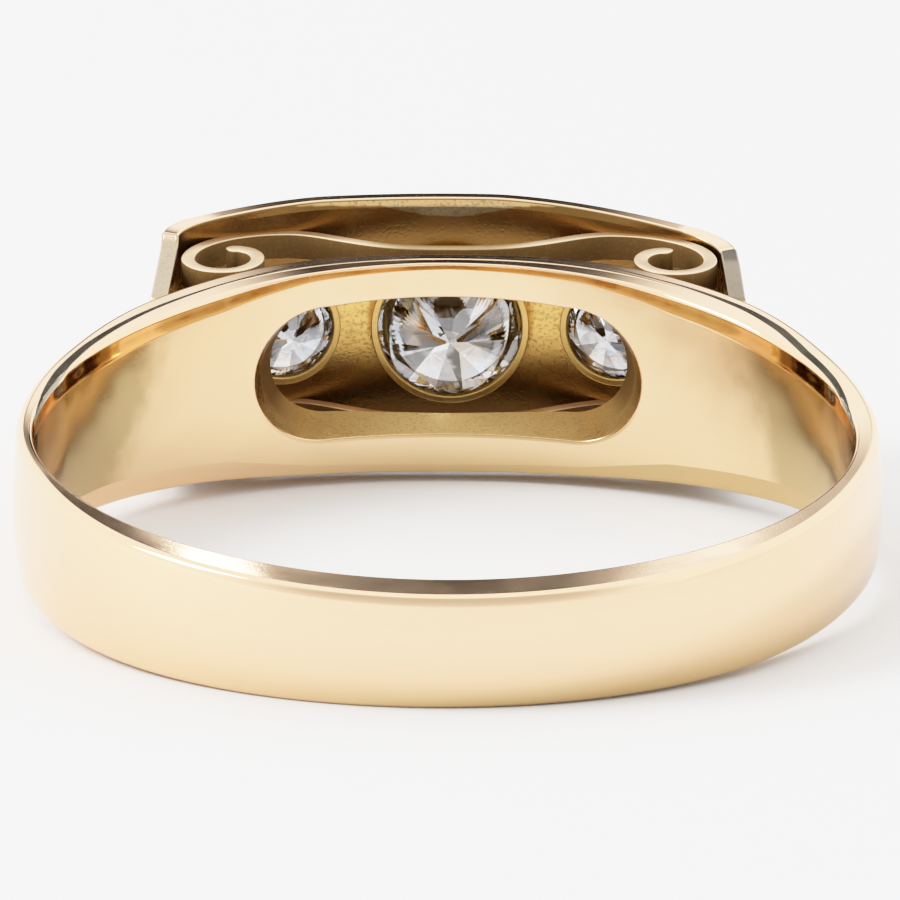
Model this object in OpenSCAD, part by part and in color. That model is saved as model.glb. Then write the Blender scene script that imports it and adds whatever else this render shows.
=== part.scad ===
// Three stone ring in yellow gold, lying on its side as it rests by itself.
// All lengths are in millimetres. The ring is drawn upright in its own frame, with the finger along Z
// and the head towards +Y, and rest() then tips it onto the surface at Z = 0.

/* [Ring size] */
// Inside diameter, where the finger goes
finger_d = 18; // [15:0.1:22]

/* [Shank] */
// Width of the shank below the stones, its widest place
shank_w = 5.04; // [4.4:0.02:6]
// Wall of the shank at the back, its thickest place
shank_wall = 1.28; // [1.1:0.02:1.6]
// Radius of the worn outer edges
edge_r = 0.25; // [0.1:0.01:0.3]
// Bevel of the inner edges, against the finger
inner_bevel = 0.12; // [0.04:0.01:0.16]
// How far the outer face is domed
dome = 0.1; // [0:0.01:0.12]

/* [Window under the stones] */
// Length of the window between the centres of its round ends
window_straight = 5.4; // [4:0.02:6]
// Width of the window at the finger's side
window_w = 3.2; // [2.4:0.02:3.4]
// Lean of the window's round ends away from its middle, in degrees
window_lean = 5; // [0:1:12]
// How far the upper edge of the window bows out in the middle
window_bow = 0.12; // [0.02:0.02:0.2]
// How much the window narrows on each side for each millimetre outwards
window_flare = 0.3; // [0.1:0.02:0.3]

/* [Head plate] */
// Height of the plate's top above the finger's side of the shank
head_rise = 3.9; // [3.5:0.05:4.5]
// Length of the head along the finger's curve, over its end walls
head_l = 13.3; // [12.6:0.1:14]
// Width of the plate along the finger
plate_w = 6.04; // [5.6:0.02:7]
// Thickness of the plate
plate_t = 0.45; // [0.35:0.05:0.6]
// Radius of the plate's arch, on its top
arch_r = 16; // [13:0.5:24]
// Length of the straight stretch of the plate's long edges, left of the middle
straight_left = 3; // [1:0.2:4]
// Length of the straight stretch of the plate's long edges, right of the middle
straight_right = 1; // [1:0.2:4]
// How much the left end of the plate is filed in on each long edge
file_left = 0.35; // [0.1:0.05:0.6]
// How much the right end of the plate is filed in on each long edge
file_right = 0.65; // [0.1:0.05:0.7]
// Radius of the bend at the left end
bend_left = 1.1; // [0.4:0.05:1.6]
// Radius of the bend at the right end
bend_right = 1.5; // [0.4:0.05:1.6]

/* [End walls] */
// Thickness of the end walls
end_t = 0.4; // [0.3:0.05:0.6]
// Width of an end wall where it meets the plate
end_top_w = 5; // [4.4:0.1:5.2]
// Width of an end wall at its foot on the shoulder
end_foot_w = 4.2; // [3.8:0.1:4.3]
// How far the foot of an end wall stands out past its top
end_flare = 0.14; // [0:0.02:0.3]

/* [Scroll strips] */
// Height of the strip's outer edge above the ring's middle plane
strip_z = 2.35; // [2.2:0.05:2.45]
// Depth of a strip, along the finger
strip_w = 0.6; // [0.5:0.05:1.2]
// Thickness of a strip
strip_t = 0.32; // [0.24:0.02:0.4]
// Distance between the two crests of a strip
crest_span = 7.5; // [6.5:0.1:8]
// How far the middle of a strip hangs below its crests
strip_dip = 1.1; // [0.6:0.05:1.3]
// Width of the curl at each end, at the middle of the strip's thickness
curl_w = 1.6; // [1.3:0.05:1.8]
// Height of the lower half of the curl
curl_drop = 0.93; // [0.7:0.01:1]
// Thickness of the rounded tip of the curl
tip_t = 0.44; // [0.34:0.02:0.5]

/* [Stones and collets] */
// Diameter of the centre stone
center_d = 3.5; // [3:0.02:3.8]
// Diameter of each side stone
side_d = 2.46; // [2:0.02:2.7]
// Turn of the centre stone in its collet, in degrees
center_turn = 35; // [0:1:45]
// Turn of the left stone in its collet, in degrees
left_turn = 15; // [0:1:45]
// Turn of the right stone in its collet, in degrees
right_turn = 41; // [0:1:45]
// Distance of a side stone from the centre stone, along the top
stone_pitch = 4; // [3.8:0.05:4.4]
// Wall of a collet below the plate
collet_wall = 0.17; // [0.15:0.01:0.2]
// How far the centre collet stands out below the plate
center_collet_h = 0.46; // [0.2:0.02:0.6]
// How far a side collet stands out below the plate
side_collet_h = 0.22; // [0.1:0.02:0.4]
// Ledge that a stone sits on, all round
seat_ledge = 0.07; // [0.05:0.01:0.08]
// How far the rim of a collet stands out above the plate
rim_h = 0.12; // [0.05:0.01:0.2]
// How far the lip of a setting laps over the edge of its stone
stone_lip = 0.06; // [0.02:0.01:0.1]
// How much a setting opens out above the lip, for each millimetre upwards
bright_flare = 0.3; // [0.1:0.02:0.36]
// Gap between a stone and its setting
stone_gap = 0.03; // [0.02:0.01:0.05]

/* [Hidden] */
$fn = 96;

// Sections of the shank, by the angle from the head, with the left side first.
// The width and the wall are shares of shank_w and shank_wall.
ANGLE = 0;
WIDTH = 1;
WALL = 2;
SECTIONS = [
    [-180, 0.50, 1.00],
    [-145, 0.55, 0.81],
    [-110, 0.63, 0.42],
    [-85, 0.66, 0.44],
    [-62, 0.75, 0.63],
    [-42, 0.85, 0.95],
    [-22, 0.96, 0.94],
    [0, 1.00, 0.68],
    [22, 0.96, 0.96],
    [42, 0.85, 1.00],
    [62, 0.72, 0.72],
    [85, 0.61, 0.57],
    [110, 0.56, 0.50],
    [145, 0.52, 0.86],
    [180, 0.50, 1.00],
];
ROWS = len(SECTIONS);
// Proportions of a brilliant, as shares of its diameter
TABLE_SHARE = 0.56;
CROWN_SHARE = 0.15;
PAVILION_SHARE = 0.43;
GIRDLE_SHARE = 0.03;
STAR_SHARE = 0.38;
LOWER_SHARE = 0.12;
// Facets round a stone's girdle
GIRDLE_SIDES = 16;
// Number of sections lofted round the shank
STEPS = 60;
// Points on each rounded edge of a section
EDGE_POINTS = 3;
// Depth that a blank runs past the surface that cuts it
SPARE = 0.4;
// How deep a soldered foot runs into what carries it
SOLDER = 0.06;
// Gap between a curl and its end wall
CURL_GAP = 0.08;
// How the filing of the plate's long edges grows towards its ends
FILE_POWER = 1.5;

finger_r = finger_d / 2;
head_top = finger_r + head_rise;
arch_y = head_top - arch_r;
under_r = arch_r - plate_t;
half_l = head_l / 2;
inner_l = half_l - end_t;
plate_half = plate_w / 2;
shank_half = shank_w / 2;
crest_x = crest_span / 2;
side_angle = asin(stone_pitch / arch_r);

// A smooth value between the rows of the section table, by cubic pieces
function wrap(i) = i < 0 ? i + ROWS - 1 : i > ROWS - 1 ? i - ROWS + 1 : i;
function turn(i) = i < 0 ? -360 : i > ROWS - 1 ? 360 : 0;
function row_angle(i) = SECTIONS[wrap(i)][ANGLE] + turn(i);
function row_value(i, column) = SECTIONS[wrap(i)][column];
function slope(i, column) =
    (row_value(i + 1, column) - row_value(i - 1, column)) / (row_angle(i + 1) - row_angle(i - 1));
function row_below(a, i = 0) = i >= ROWS - 2 || a < SECTIONS[i + 1][ANGLE] ? i : row_below(a, i + 1);
function cubic(p, q, m, n, s) =
    (2 * s^3 - 3 * s^2 + 1) * p + (s^3 - 2 * s^2 + s) * m + (3 * s^2 - 2 * s^3) * q + (s^3 - s^2) * n;
function between(a, column) =
    let (i = row_below(a), span = row_angle(i + 1) - row_angle(i), s = (a - row_angle(i)) / span)
    cubic(row_value(i, column), row_value(i + 1, column),
          slope(i, column) * span, slope(i + 1, column) * span, s);

function half_width(a) = shank_half * between(a, WIDTH);
function wall_at(a) = shank_wall * between(a, WALL);
function outer_r(a) = finger_r + wall_at(a);
// Height of the shank's outer face above the middle of the finger, at a distance x to the side
function shoulder_y(x, a) = sqrt(outer_r(a)^2 - x^2);

// Upper half of the section at one angle, from the middle of the outer face to the finger's side,
// as [distance from the finger's axis, height]
function upper_section(h, t) =
    let (r_edge = finger_r + t - dome - edge_r, z_edge = h - edge_r)
    concat(
        [[r_edge + edge_r + dome * 0.75, z_edge / 2]],
        [for (i = [0:EDGE_POINTS]) let (b = 90 * i / EDGE_POINTS)
            [r_edge + edge_r * cos(b), z_edge + edge_r * sin(b)]],
        [[finger_r + inner_bevel, h]],
        [[finger_r - SPARE, h - inner_bevel - SPARE]]
    );
function section(h, t) =
    let (up = upper_section(h, t), n = len(up))
    concat([[finger_r + t, 0]], up, [for (i = [n - 1:-1:0]) [up[i][0], -up[i][1]]]);

// Every point of the lofted shank
SHANK_RINGS = [for (i = [0:STEPS - 1])
    let (a = -180 + 360 * i / STEPS)
    [for (p = section(half_width(a), wall_at(a))) [p[0] * sin(a), p[0] * cos(a), p[1]]]];
RING_POINTS = len(SHANK_RINGS[0]);

// How the ring rests: the plate's lower edge touches the surface in front, and the ring tips
// until the first point of the shank's back touches it too
front = [arch_y + sqrt(under_r^2 - straight_left^2), -plate_half];
tilt = min([for (ring = SHANK_RINGS) for (p = ring) if (p[1] < 0) atan2(p[2] - front[1], front[0] - p[1])]);
lift = -(front[1] * cos(tilt) + front[0] * sin(tilt));

// Middle of the box round the tipped ring
function tipped_y(p) = p[1] * cos(tilt) - p[2] * sin(tilt);
y_low = min([for (ring = SHANK_RINGS) for (p = ring) tipped_y(p)]);
y_high = tipped_y([0, head_top + rim_h, -center_d / 2 - collet_wall]);
y_plate = tipped_y([0, head_top, -plate_half]);
y_shift = -(y_low + max(y_high, y_plate)) / 2;

module rest() {
    translate([0, y_shift, lift])
        rotate([tilt, 0, 0])
            children();
}

// A brilliant's height levels and points, with its axis along Z and its girdle at Z = 0
module brilliant(d) {
    r = d / 2;
    n = GIRDLE_SIDES;
    m = n / 2;
    step = 360 / n;
    girdle = GIRDLE_SHARE * d / 2;
    crown = girdle + CROWN_SHARE * d;
    depth = girdle + PAVILION_SHARE * d;
    table_r = TABLE_SHARE * r;
    star_r = STAR_SHARE * d;
    lower_r = LOWER_SHARE * d;
    crown_slope = (crown - girdle) / (r - table_r);
    pavilion_slope = (depth - girdle) / r;
    star_z = crown - (star_r * cos(step) - table_r) * crown_slope;
    lower_z = -depth + lower_r * cos(step) * pavilion_slope;
    points = concat(
        [for (k = [0:m - 1]) [table_r * cos(2 * k * step), table_r * sin(2 * k * step), crown]],
        [for (k = [0:m - 1]) [star_r * cos((2 * k + 1) * step), star_r * sin((2 * k + 1) * step), star_z]],
        [for (k = [0:n - 1]) [r * cos(k * step), r * sin(k * step), girdle]],
        [for (k = [0:n - 1]) [r * cos(k * step), r * sin(k * step), -girdle]],
        [for (k = [0:m - 1]) [lower_r * cos((2 * k + 1) * step), lower_r * sin((2 * k + 1) * step), lower_z]],
        [[0, 0, -depth]]
    );
    star = m;
    top = 2 * m;
    bottom = top + n;
    lower = bottom + n;
    culet = lower + m;
    faces = concat(
        [[for (k = [m - 1:-1:0]) k]],
        [for (k = [0:m - 1]) [k, (k + 1) % m, star + k]],
        [for (k = [0:m - 1]) [k, star + k, top + 2 * k]],
        [for (k = [0:m - 1]) [k, top + 2 * k, star + (k + m - 1) % m]],
        [for (k = [0:m - 1]) [star + k, top + 2 * k + 1, top + 2 * k]],
        [for (k = [0:m - 1]) [star + k, top + (2 * k + 2) % n, top + 2 * k + 1]],
        [for (k = [0:n - 1]) [top + k, top + (k + 1) % n, bottom + (k + 1) % n, bottom + k]],
        [for (k = [0:m - 1]) [lower + k, bottom + 2 * k, bottom + 2 * k + 1]],
        [for (k = [0:m - 1]) [lower + k, bottom + 2 * k + 1, bottom + (2 * k + 2) % n]],
        [for (k = [0:m - 1]) [culet, bottom + 2 * k, lower + k]],
        [for (k = [0:m - 1]) [culet, lower + (k + m - 1) % m, bottom + 2 * k]]
    );
    polyhedron(points, faces);
}

// Places a stone or its collet on the arch of the plate, with Z outwards from the plate's top
module on_arch(a) {
    translate([0, arch_y, 0])
        rotate([0, 0, -a])
            translate([0, arch_r, 0])
                rotate([-90, 0, 0])
                    children();
}

// The girdle lies so that a stone's table is level with the top of its rim
function girdle_z(d) = rim_h - (CROWN_SHARE + GIRDLE_SHARE / 2) * d;

module stone(d, turned) {
    translate([0, 0, girdle_z(d)])
        rotate([0, 0, turned])
            brilliant(d);
}

// Turned: a tube through the plate, with a low rim above it
module collet(d, h) {
    tube_r = d / 2 - seat_ledge + collet_wall;
    rotate_extrude()
        polygon([
            [0, -plate_t - h], [tube_r, -plate_t - h], [tube_r, -plate_t / 2],
            [d / 2 + collet_wall, -plate_t / 2], [d / 2 + 2 * collet_wall, rim_h / 2],
            [d / 2 + collet_wall, rim_h], [0, rim_h],
        ]);
}

// Turned: the hollow of a setting. It is open below, then slopes out as the ledge that the stone
// sits on, clears the stone's edge, closes over it as a lip and opens out in a bright-cut slope.
module collet_hollow(d, h) {
    tube_r = d / 2 - seat_ledge;
    seat_r = d / 2 + stone_gap;
    lip_r = d / 2 - stone_lip;
    girdle = GIRDLE_SHARE * d / 2;
    edge_z = girdle_z(d) - girdle - stone_gap;
    seat_z = edge_z - (seat_r - tube_r) * 2 * PAVILION_SHARE;
    lip_z = girdle_z(d) + girdle + stone_gap;
    lip_end = lip_z + (seat_r - lip_r) * 2 * CROWN_SHARE / (1 - TABLE_SHARE);
    top = rim_h + SPARE;
    rotate_extrude()
        polygon([
            [0, -plate_t - h - SPARE], [tube_r, -plate_t - h - SPARE], [tube_r, seat_z],
            [seat_r, edge_z], [seat_r, lip_z], [lip_r, lip_end],
            [lip_r + bright_flare * (top - lip_end), top], [0, top],
        ]);
}

module shank_blank() {
    n = RING_POINTS;
    points = [for (ring = SHANK_RINGS) for (p = ring) p];
    faces = [for (i = [0:STEPS - 1]) for (j = [0:n - 1])
        let (a = i * n + j, b = i * n + (j + 1) % n, c = ((i + 1) % STEPS) * n)
        each [[a, c + j, c + (j + 1) % n], [a, c + (j + 1) % n, b]]];
    polyhedron(points, faces);
}

// The open window through the shank, wider towards the finger
module window_cut() {
    half = window_w / 2;
    x = window_straight / 2;
    a = asin(x / finger_r);
    y = finger_r * cos(a);
    down = finger_r - sqrt(finger_r^2 - (x + half)^2) + SPARE;
    up = shank_wall + SPARE;
    start = finger_r - down;
    wide = half + window_flare * down;
    narrow = half - window_flare * up;
    rotate([0, 0, 90 - a])
        rotate_extrude(angle = 2 * a)
            polygon([[start, -wide], [finger_r + up, -narrow], [finger_r + up, narrow], [start, wide]]);
    for (side = [-1, 1])
        translate([side * x, y, 0])
            rotate([-90, 0, -side * window_lean])
                translate([0, 0, -down])
                    cylinder(r1 = wide, r2 = narrow, h = down + up);
    // The bow: a wide arc over the straight stretch, cut off at its chord
    bow_r = x^2 / 2 / (window_bow + window_flare * (finger_r - y));
    intersection() {
        translate([0, start, half + window_bow - bow_r])
            rotate([-90, 0, 0])
                cylinder(r1 = bow_r + window_flare * down, r2 = bow_r - window_flare * up, h = down + up, $fn = 360);
        translate([-x, start, 0])
            cube([2 * x, down + up, 2 * window_w]);
    }
}

// Outline of the plate and end walls seen along the finger, right half, outside or inside.
// The flat top is an arc, the corner a quarter turn, and the wall a straight line to its foot.
ARC_STEPS = 8;
BEND_STEPS = 5;
foot_y = shoulder_y(half_l, asin(half_l / (finger_r + shank_wall))) - 4 * SOLDER;
function half_outline(r, x_end, bend, flare) =
    let (y_c = arch_y + sqrt((r - bend)^2 - (x_end - bend)^2),
         x_c = x_end - bend,
         a = atan2(x_c, y_c - arch_y))
    concat(
        [for (i = [0:ARC_STEPS - 1]) let (b = a * i / ARC_STEPS) [r * sin(b), arch_y + r * cos(b)]],
        [for (i = [0:BEND_STEPS]) let (b = a + (90 - a) * i / BEND_STEPS)
            [x_c + bend * sin(b), y_c + bend * cos(b)]],
        [[x_end + flare, foot_y]]
    );
function whole_outline(r, x_end, left, right, flare) =
    let (l = half_outline(r, x_end, left, flare), n = len(l))
    concat([for (i = [n - 1:-1:1]) [-l[i][0], l[i][1]]], half_outline(r, x_end, right, flare));

module bracket_outline() {
    difference() {
        polygon(whole_outline(arch_r, half_l, bend_left, bend_right, end_flare));
        polygon(concat(
            whole_outline(under_r, inner_l, bend_left - end_t / 2, bend_right - end_t / 2, end_flare),
            [[inner_l + end_flare, foot_y - SPARE], [-inner_l - end_flare, foot_y - SPARE]]
        ));
    }
}

// The plate seen from its top: straight long edges that are filed in towards each end
module plate_plan() {
    steps = 8;
    far = half_l + SPARE;
    function edge(side, start, filed) = [for (i = [0:steps])
        let (s = i / steps)
        [side * (start + (half_l - start) * s), plate_half - filed * s^FILE_POWER]];
    right = edge(1, straight_right, file_right);
    left = edge(-1, straight_left, file_left);
    top = concat([for (i = [steps:-1:0]) left[i]], right);
    ends = concat([[-far, top[0][1]]], top, [[far, right[steps][1]]]);
    polygon(concat(ends, [for (i = [len(ends) - 1:-1:0]) [ends[i][0], -ends[i][1]]]));
}

// The plate and end walls seen from the side: full width above, narrower walls below
module side_outline() {
    corner_y = arch_y + sqrt(under_r^2 - inner_l^2) - end_t;
    low = foot_y - SOLDER;
    high = head_top + SPARE;
    far = plate_half + SPARE;
    polygon([
        [low, -end_foot_w / 2], [corner_y, -end_top_w / 2], [corner_y, -far], [high, -far],
        [high, far], [corner_y, far], [corner_y, end_top_w / 2], [low, end_foot_w / 2],
    ]);
}

module head_plate() {
    intersection() {
        translate([0, 0, -plate_half - SPARE])
            linear_extrude(plate_w + 2 * SPARE)
                bracket_outline();
        rotate([90, 0, 0])
            translate([0, 0, -head_top - SPARE])
                linear_extrude(head_top + SPARE)
                    plate_plan();
        rotate([90, 0, 90])
            translate([0, 0, -half_l - SPARE])
                linear_extrude(head_l + 2 * SPARE)
                    side_outline();
    }
}

// Path of a scroll strip, right half, from the middle to the tip of its curl.
// It is a wave up to the crest, then a quarter, a half and another quarter oval round the curl.
// A power over 1 makes the wave's hollow wider than its crests.
WAVE_POWER = 1.5;
WAVE_STEPS = 12;
OVAL_STEPS = 8;
// Place of the curl's tip, as shares of the curl's width and of its lower half's height
TIP_INWARD = 0.17;
TIP_UP = 0.8;
out_x = inner_l - CURL_GAP - strip_t / 2;
curl_c = out_x - curl_w / 2;
curl_angle = asin(curl_c / (finger_r + shank_wall));
crest_y = arch_y + sqrt(under_r^2 - crest_x^2) - strip_t / 2 + SOLDER;
curl_y = shoulder_y(curl_c, curl_angle) + strip_t / 2 - SOLDER + curl_drop;
tip_x = curl_c - curl_w * TIP_INWARD;
tip_rise = curl_drop * TIP_UP;
HALF_PATH = concat(
    [for (i = [0:WAVE_STEPS - 1]) let (x = crest_x * i / WAVE_STEPS)
        [x, crest_y - strip_dip * cos(90 * (x / crest_x)^WAVE_POWER)^2]],
    [for (i = [0:OVAL_STEPS - 1]) let (b = 90 * i / OVAL_STEPS)
        [crest_x + (out_x - crest_x) * sin(b), curl_y + (crest_y - curl_y) * cos(b)]],
    [for (i = [0:2 * OVAL_STEPS - 1]) let (b = 180 * i / (2 * OVAL_STEPS))
        [curl_c + curl_w / 2 * cos(b), curl_y - curl_drop * sin(b)]],
    [for (i = [0:OVAL_STEPS]) let (b = 90 * i / OVAL_STEPS)
        [tip_x - (tip_x - curl_c + curl_w / 2) * cos(b), curl_y + tip_rise * sin(b)]]
);
HALF_N = len(HALF_PATH);
PATH = concat([for (i = [HALF_N - 1:-1:1]) [-HALF_PATH[i][0], HALF_PATH[i][1]]], HALF_PATH);
PATH_N = len(PATH);
function across(i) =
    let (d = PATH[min(i + 1, PATH_N - 1)] - PATH[max(i - 1, 0)])
    [-d[1], d[0]] / norm(d);
// The strip swells towards the rounded tip of each curl
function half_t(i) =
    let (s = max(0, 1 - min(i, PATH_N - 1 - i) / OVAL_STEPS))
    (strip_t + (tip_t - strip_t) * s) / 2;

module strip_outline() {
    polygon(concat(
        [for (i = [0:PATH_N - 1]) PATH[i] + half_t(i) * across(i)],
        [for (i = [PATH_N - 1:-1:0]) PATH[i] - half_t(i) * across(i)]
    ));
    for (i = [0, PATH_N - 1])
        translate(PATH[i])
            circle(d = tip_t);
}

module scroll_strip(side) {
    translate([0, 0, side > 0 ? strip_z - strip_w : -strip_z])
        linear_extrude(strip_w)
            strip_outline();
}

module finger_hole() {
    translate([0, 0, -plate_w])
        cylinder(r = finger_r, h = 2 * plate_w);
}

// All the gold is soldered into one piece
module ring_mount() {
    color("goldenrod") rest() difference() {
        union() {
            difference() {
                shank_blank();
                window_cut();
            }
            head_plate();
            scroll_strip(1);
            scroll_strip(-1);
            on_arch(0) collet(center_d, center_collet_h);
            for (side = [-1, 1])
                on_arch(side * side_angle) collet(side_d, side_collet_h);
        }
        finger_hole();
        on_arch(0) collet_hollow(center_d, center_collet_h);
        for (side = [-1, 1])
            on_arch(side * side_angle) collet_hollow(side_d, side_collet_h);
    }
}

module center_stone() {
    color("aliceblue") rest() on_arch(0) stone(center_d, center_turn);
}

module left_stone() {
    color("aliceblue") rest() on_arch(-side_angle) stone(side_d, left_turn);
}

module right_stone() {
    color("aliceblue") rest() on_arch(side_angle) stone(side_d, right_turn);
}

ring_mount();
center_stone();
left_stone();
right_stone();
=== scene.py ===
# %% [markdown]
# # A three stone ring, seen from the back of its band
# The ring lies on its side on a pale table. The CAD model is loaded first and stays as it is.
# The pieces below are finer versions of the same shapes: they stand where the CAD solids stand,
# and carry the polish, the brushing and the cut of the real ring.

# %% Load the frame
import math

import bmesh
import bpy
import numpy as np
from mathutils import Matrix, Vector


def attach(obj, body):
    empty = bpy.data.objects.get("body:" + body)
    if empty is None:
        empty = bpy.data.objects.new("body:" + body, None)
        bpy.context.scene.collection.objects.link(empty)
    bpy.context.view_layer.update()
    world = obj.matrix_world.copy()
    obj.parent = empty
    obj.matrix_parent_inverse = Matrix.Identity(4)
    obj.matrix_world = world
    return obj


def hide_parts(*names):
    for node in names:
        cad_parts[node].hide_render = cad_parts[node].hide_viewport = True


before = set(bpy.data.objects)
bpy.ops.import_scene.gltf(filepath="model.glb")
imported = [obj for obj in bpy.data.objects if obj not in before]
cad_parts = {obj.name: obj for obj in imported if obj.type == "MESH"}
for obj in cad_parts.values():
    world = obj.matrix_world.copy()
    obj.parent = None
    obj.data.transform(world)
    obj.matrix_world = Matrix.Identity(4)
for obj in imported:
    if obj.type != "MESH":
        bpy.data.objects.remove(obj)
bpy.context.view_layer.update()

# %% [markdown]
# ## Lengths, and how the ring lies
# A jeweller thinks of a ring as standing up, with the finger along Z and the head at the top, +Y.
# All shapes are drawn that way in millimetres. `at_rest` then tips them onto the table as the
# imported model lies, and turns them into metres, so each finished object keeps its own origin at
# zero.

# %% Lengths and the resting place
MM = 0.001
FINGER_R = 9.0
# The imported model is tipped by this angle, and its finger's axis then passes through this place
TILT = math.radians(4.53848)
LIFT = 2.04849
SHIFT = -1.43415
REST = Matrix.Scale(MM, 4) @ Matrix.Translation((0, SHIFT, LIFT)) @ Matrix.Rotation(TILT, 4, "X")


def at_rest(points):
    """Points of the upright ring, in mm, as they lie on the table, in metres."""
    m = np.array(REST)
    return np.asarray(points, float) @ m[:3, :3].T + m[:3, 3]


def direction_at_rest(v):
    """A direction of the upright ring, as it points once the ring lies down."""
    return (REST.to_3x3() @ Vector(v)).normalized()


print("tipped by", round(math.degrees(TILT), 2), "degrees, inside diameter", 2 * FINGER_R, "mm")

# %% [markdown]
# ## The camera
# It stands 20 cm off, 19 degrees above the ring's middle plane, with a long lens, as for a
# catalogue picture. The position and the small turns were fitted to the picture's outline.

# %% Camera
CAMERA_AWAY = 200.028
CAMERA_UP = math.radians(19.031)
CAMERA_ROUND = math.radians(0.650)
YAW, PITCH, ROLL = (math.radians(d) for d in (-0.038, 0.289, -0.073))
# The lens's distance behind the picture, in pixels of the picture's width
FOCUS_PX = 9068.716
FRAME_PX = 900
SENSOR_MM = 36
NEAREST, FARTHEST = 0.01, 10


def put_in_scene(name, data):
    thing = bpy.data.objects.new(name, data)
    bpy.context.scene.collection.objects.link(thing)
    return thing


def make_camera():
    place = CAMERA_AWAY * Vector((
        math.sin(CAMERA_ROUND) * math.cos(CAMERA_UP),
        -math.cos(CAMERA_ROUND) * math.cos(CAMERA_UP),
        math.sin(CAMERA_UP),
    ))
    ahead = -place.normalized()
    right = ahead.cross(Vector((0, 0, 1))).normalized()
    up = right.cross(ahead)
    for angle, axis in ((YAW, up), (PITCH, right), (ROLL, ahead)):
        turn = Matrix.Rotation(angle, 3, axis)
        ahead, right, up = (turn @ v for v in (ahead, right, up))
    data = bpy.data.cameras.new("camera")
    data.sensor_width = SENSOR_MM
    data.lens = FOCUS_PX / FRAME_PX * SENSOR_MM
    data.clip_start, data.clip_end = NEAREST, FARTHEST
    camera = put_in_scene("camera", data)
    turn = Matrix([direction_at_rest(v) for v in (right, up, -ahead)]).transposed()
    camera.matrix_world = Matrix.Translation(at_rest(place)) @ turn.to_4x4()
    bpy.context.scene.camera = camera
    print("lens", round(data.lens, 2), "mm, camera at", [round(v, 4) for v in camera.location])


make_camera()

# %% [markdown]
# ## Helpers for smooth metal
# Polished metal shows every flaw of a mesh, because it mirrors the room. So each edge gets a small
# real rounding, and all faces are shaded smooth. `rounded` rounds the corners of a line of points,
# `Shell` collects grids of points and sews them into one closed skin.

# %% Rounding a line of points
# A rounding takes at most this share of the shorter side beside it
ROUND_SHARE = 0.44
# The points that hold the flats stand off by the lesser share, of the rounding or of the side
HOLD_OF_REACH, HOLD_OF_SIDE = 0.2, 0.04


def rounded(corners, radii, steps=3):
    """The line through corners, with each inner one rounded to its radius.

    A point a little before and after each rounding keeps the flats between them truly flat."""
    corners = np.asarray(corners, float)
    line = []
    for before, corner, after, radius in zip(corners, corners[1:], corners[2:], radii):
        u, v = before - corner, after - corner
        shorter = min(np.linalg.norm(u), np.linalg.norm(v))
        u, v = u / np.linalg.norm(u), v / np.linalg.norm(v)
        half = math.acos(max(-1, min(1, float(u @ v)))) / 2
        reach = min(radius / math.tan(half), ROUND_SHARE * shorter)
        hold = min(HOLD_OF_REACH * reach, HOLD_OF_SIDE * shorter)
        middle = corner + (u + v) / np.linalg.norm(u + v) * reach / math.cos(half)
        a, b = corner + u * reach - middle, corner + v * reach - middle
        sweep = math.pi - 2 * half
        line.append(corner + u * (reach + hold))
        for t in (i / steps for i in range(steps + 1)):
            arc = math.sin((1 - t) * sweep) * a + math.sin(t * sweep) * b
            line.append(middle + arc / math.sin(sweep))
        line.append(corner + v * (reach + hold))
    return np.array(line)


print("points of one rounded corner:", len(rounded([(0, 0), (1, 0), (1, 1)], (0.1,))))

# %% Sewing grids into a skin
# Closer points are merged, and shorter edges dissolved, in mm
MERGE, SLIVER = 2e-4, 1e-5
# A skin's three finishes: the outside, the inside and the cut edges
OUTER, INNER, CUT = range(3)
# The mark of a point that isn't near the crease: above 0 on its outer side, below 0 on its inner
FAR = 9.0


def sew_up(data, name):
    """Merges a mesh's double points, turns its faces outwards and lays it down at rest."""
    skin = bmesh.new()
    skin.from_mesh(data)
    bmesh.ops.remove_doubles(skin, verts=skin.verts, dist=MERGE)
    bmesh.ops.dissolve_degenerate(skin, edges=skin.edges, dist=SLIVER)
    bmesh.ops.recalc_face_normals(skin, faces=skin.faces)
    bmesh.ops.transform(skin, matrix=REST, verts=skin.verts)
    open_edges = sum(len(e.link_faces) != 2 for e in skin.edges)
    skin.to_mesh(data)
    skin.free()
    print(name, len(data.polygons), "faces,", open_edges, "open edges")


class Shell:
    """Grids of points in the upright ring's frame, sewn into one skin at rest."""

    def __init__(self):
        self.points, self.faces, self.finishes, self.marks = [], [], [], []

    def grid(self, rows, finish=OUTER, round_rows=False, round_points=False, marks=FAR):
        rows = np.asarray(rows, float)
        start = len(self.points)
        m, n = rows.shape[:2]
        self.points.extend(rows.reshape(-1, 3))
        self.marks.extend(np.broadcast_to(marks, (m, n)).ravel())
        for i in range(m if round_rows else m - 1):
            a, b = start + i * n, start + ((i + 1) % m) * n
            for j in range(n if round_points else n - 1):
                k = (j + 1) % n
                self.faces.append([a + j, b + j, b + k, a + k])
                self.finishes.append(finish)

    def cap(self, loop):
        start = len(self.points)
        self.points.extend(np.asarray(loop, float))
        self.marks.extend([FAR] * len(loop))
        self.faces.append(list(range(start, len(self.points))))
        self.finishes.append(OUTER)

    def sew(self, name, materials):
        data = bpy.data.meshes.new(name)
        data.from_pydata([tuple(p) for p in self.points], [], self.faces)
        data.polygons.foreach_set("material_index", self.finishes)
        data.attributes.new("crease", "FLOAT", "POINT").data.foreach_set("value", self.marks)
        sew_up(data, name)
        data.shade_smooth()
        for material in materials:
            data.materials.append(material)
        return put_in_scene(name, data)


tray = Shell()
tray.grid([[(x, y, 0) for x in range(4)] for y in range(3)])
print("a grid of 3 rows of 4 points makes", len(tray.faces), "faces")

# %% [markdown]
# ## Plain materials, to be finished below
# Each piece names its finish when it is made. The finishes are filled in after the shapes.

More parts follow.
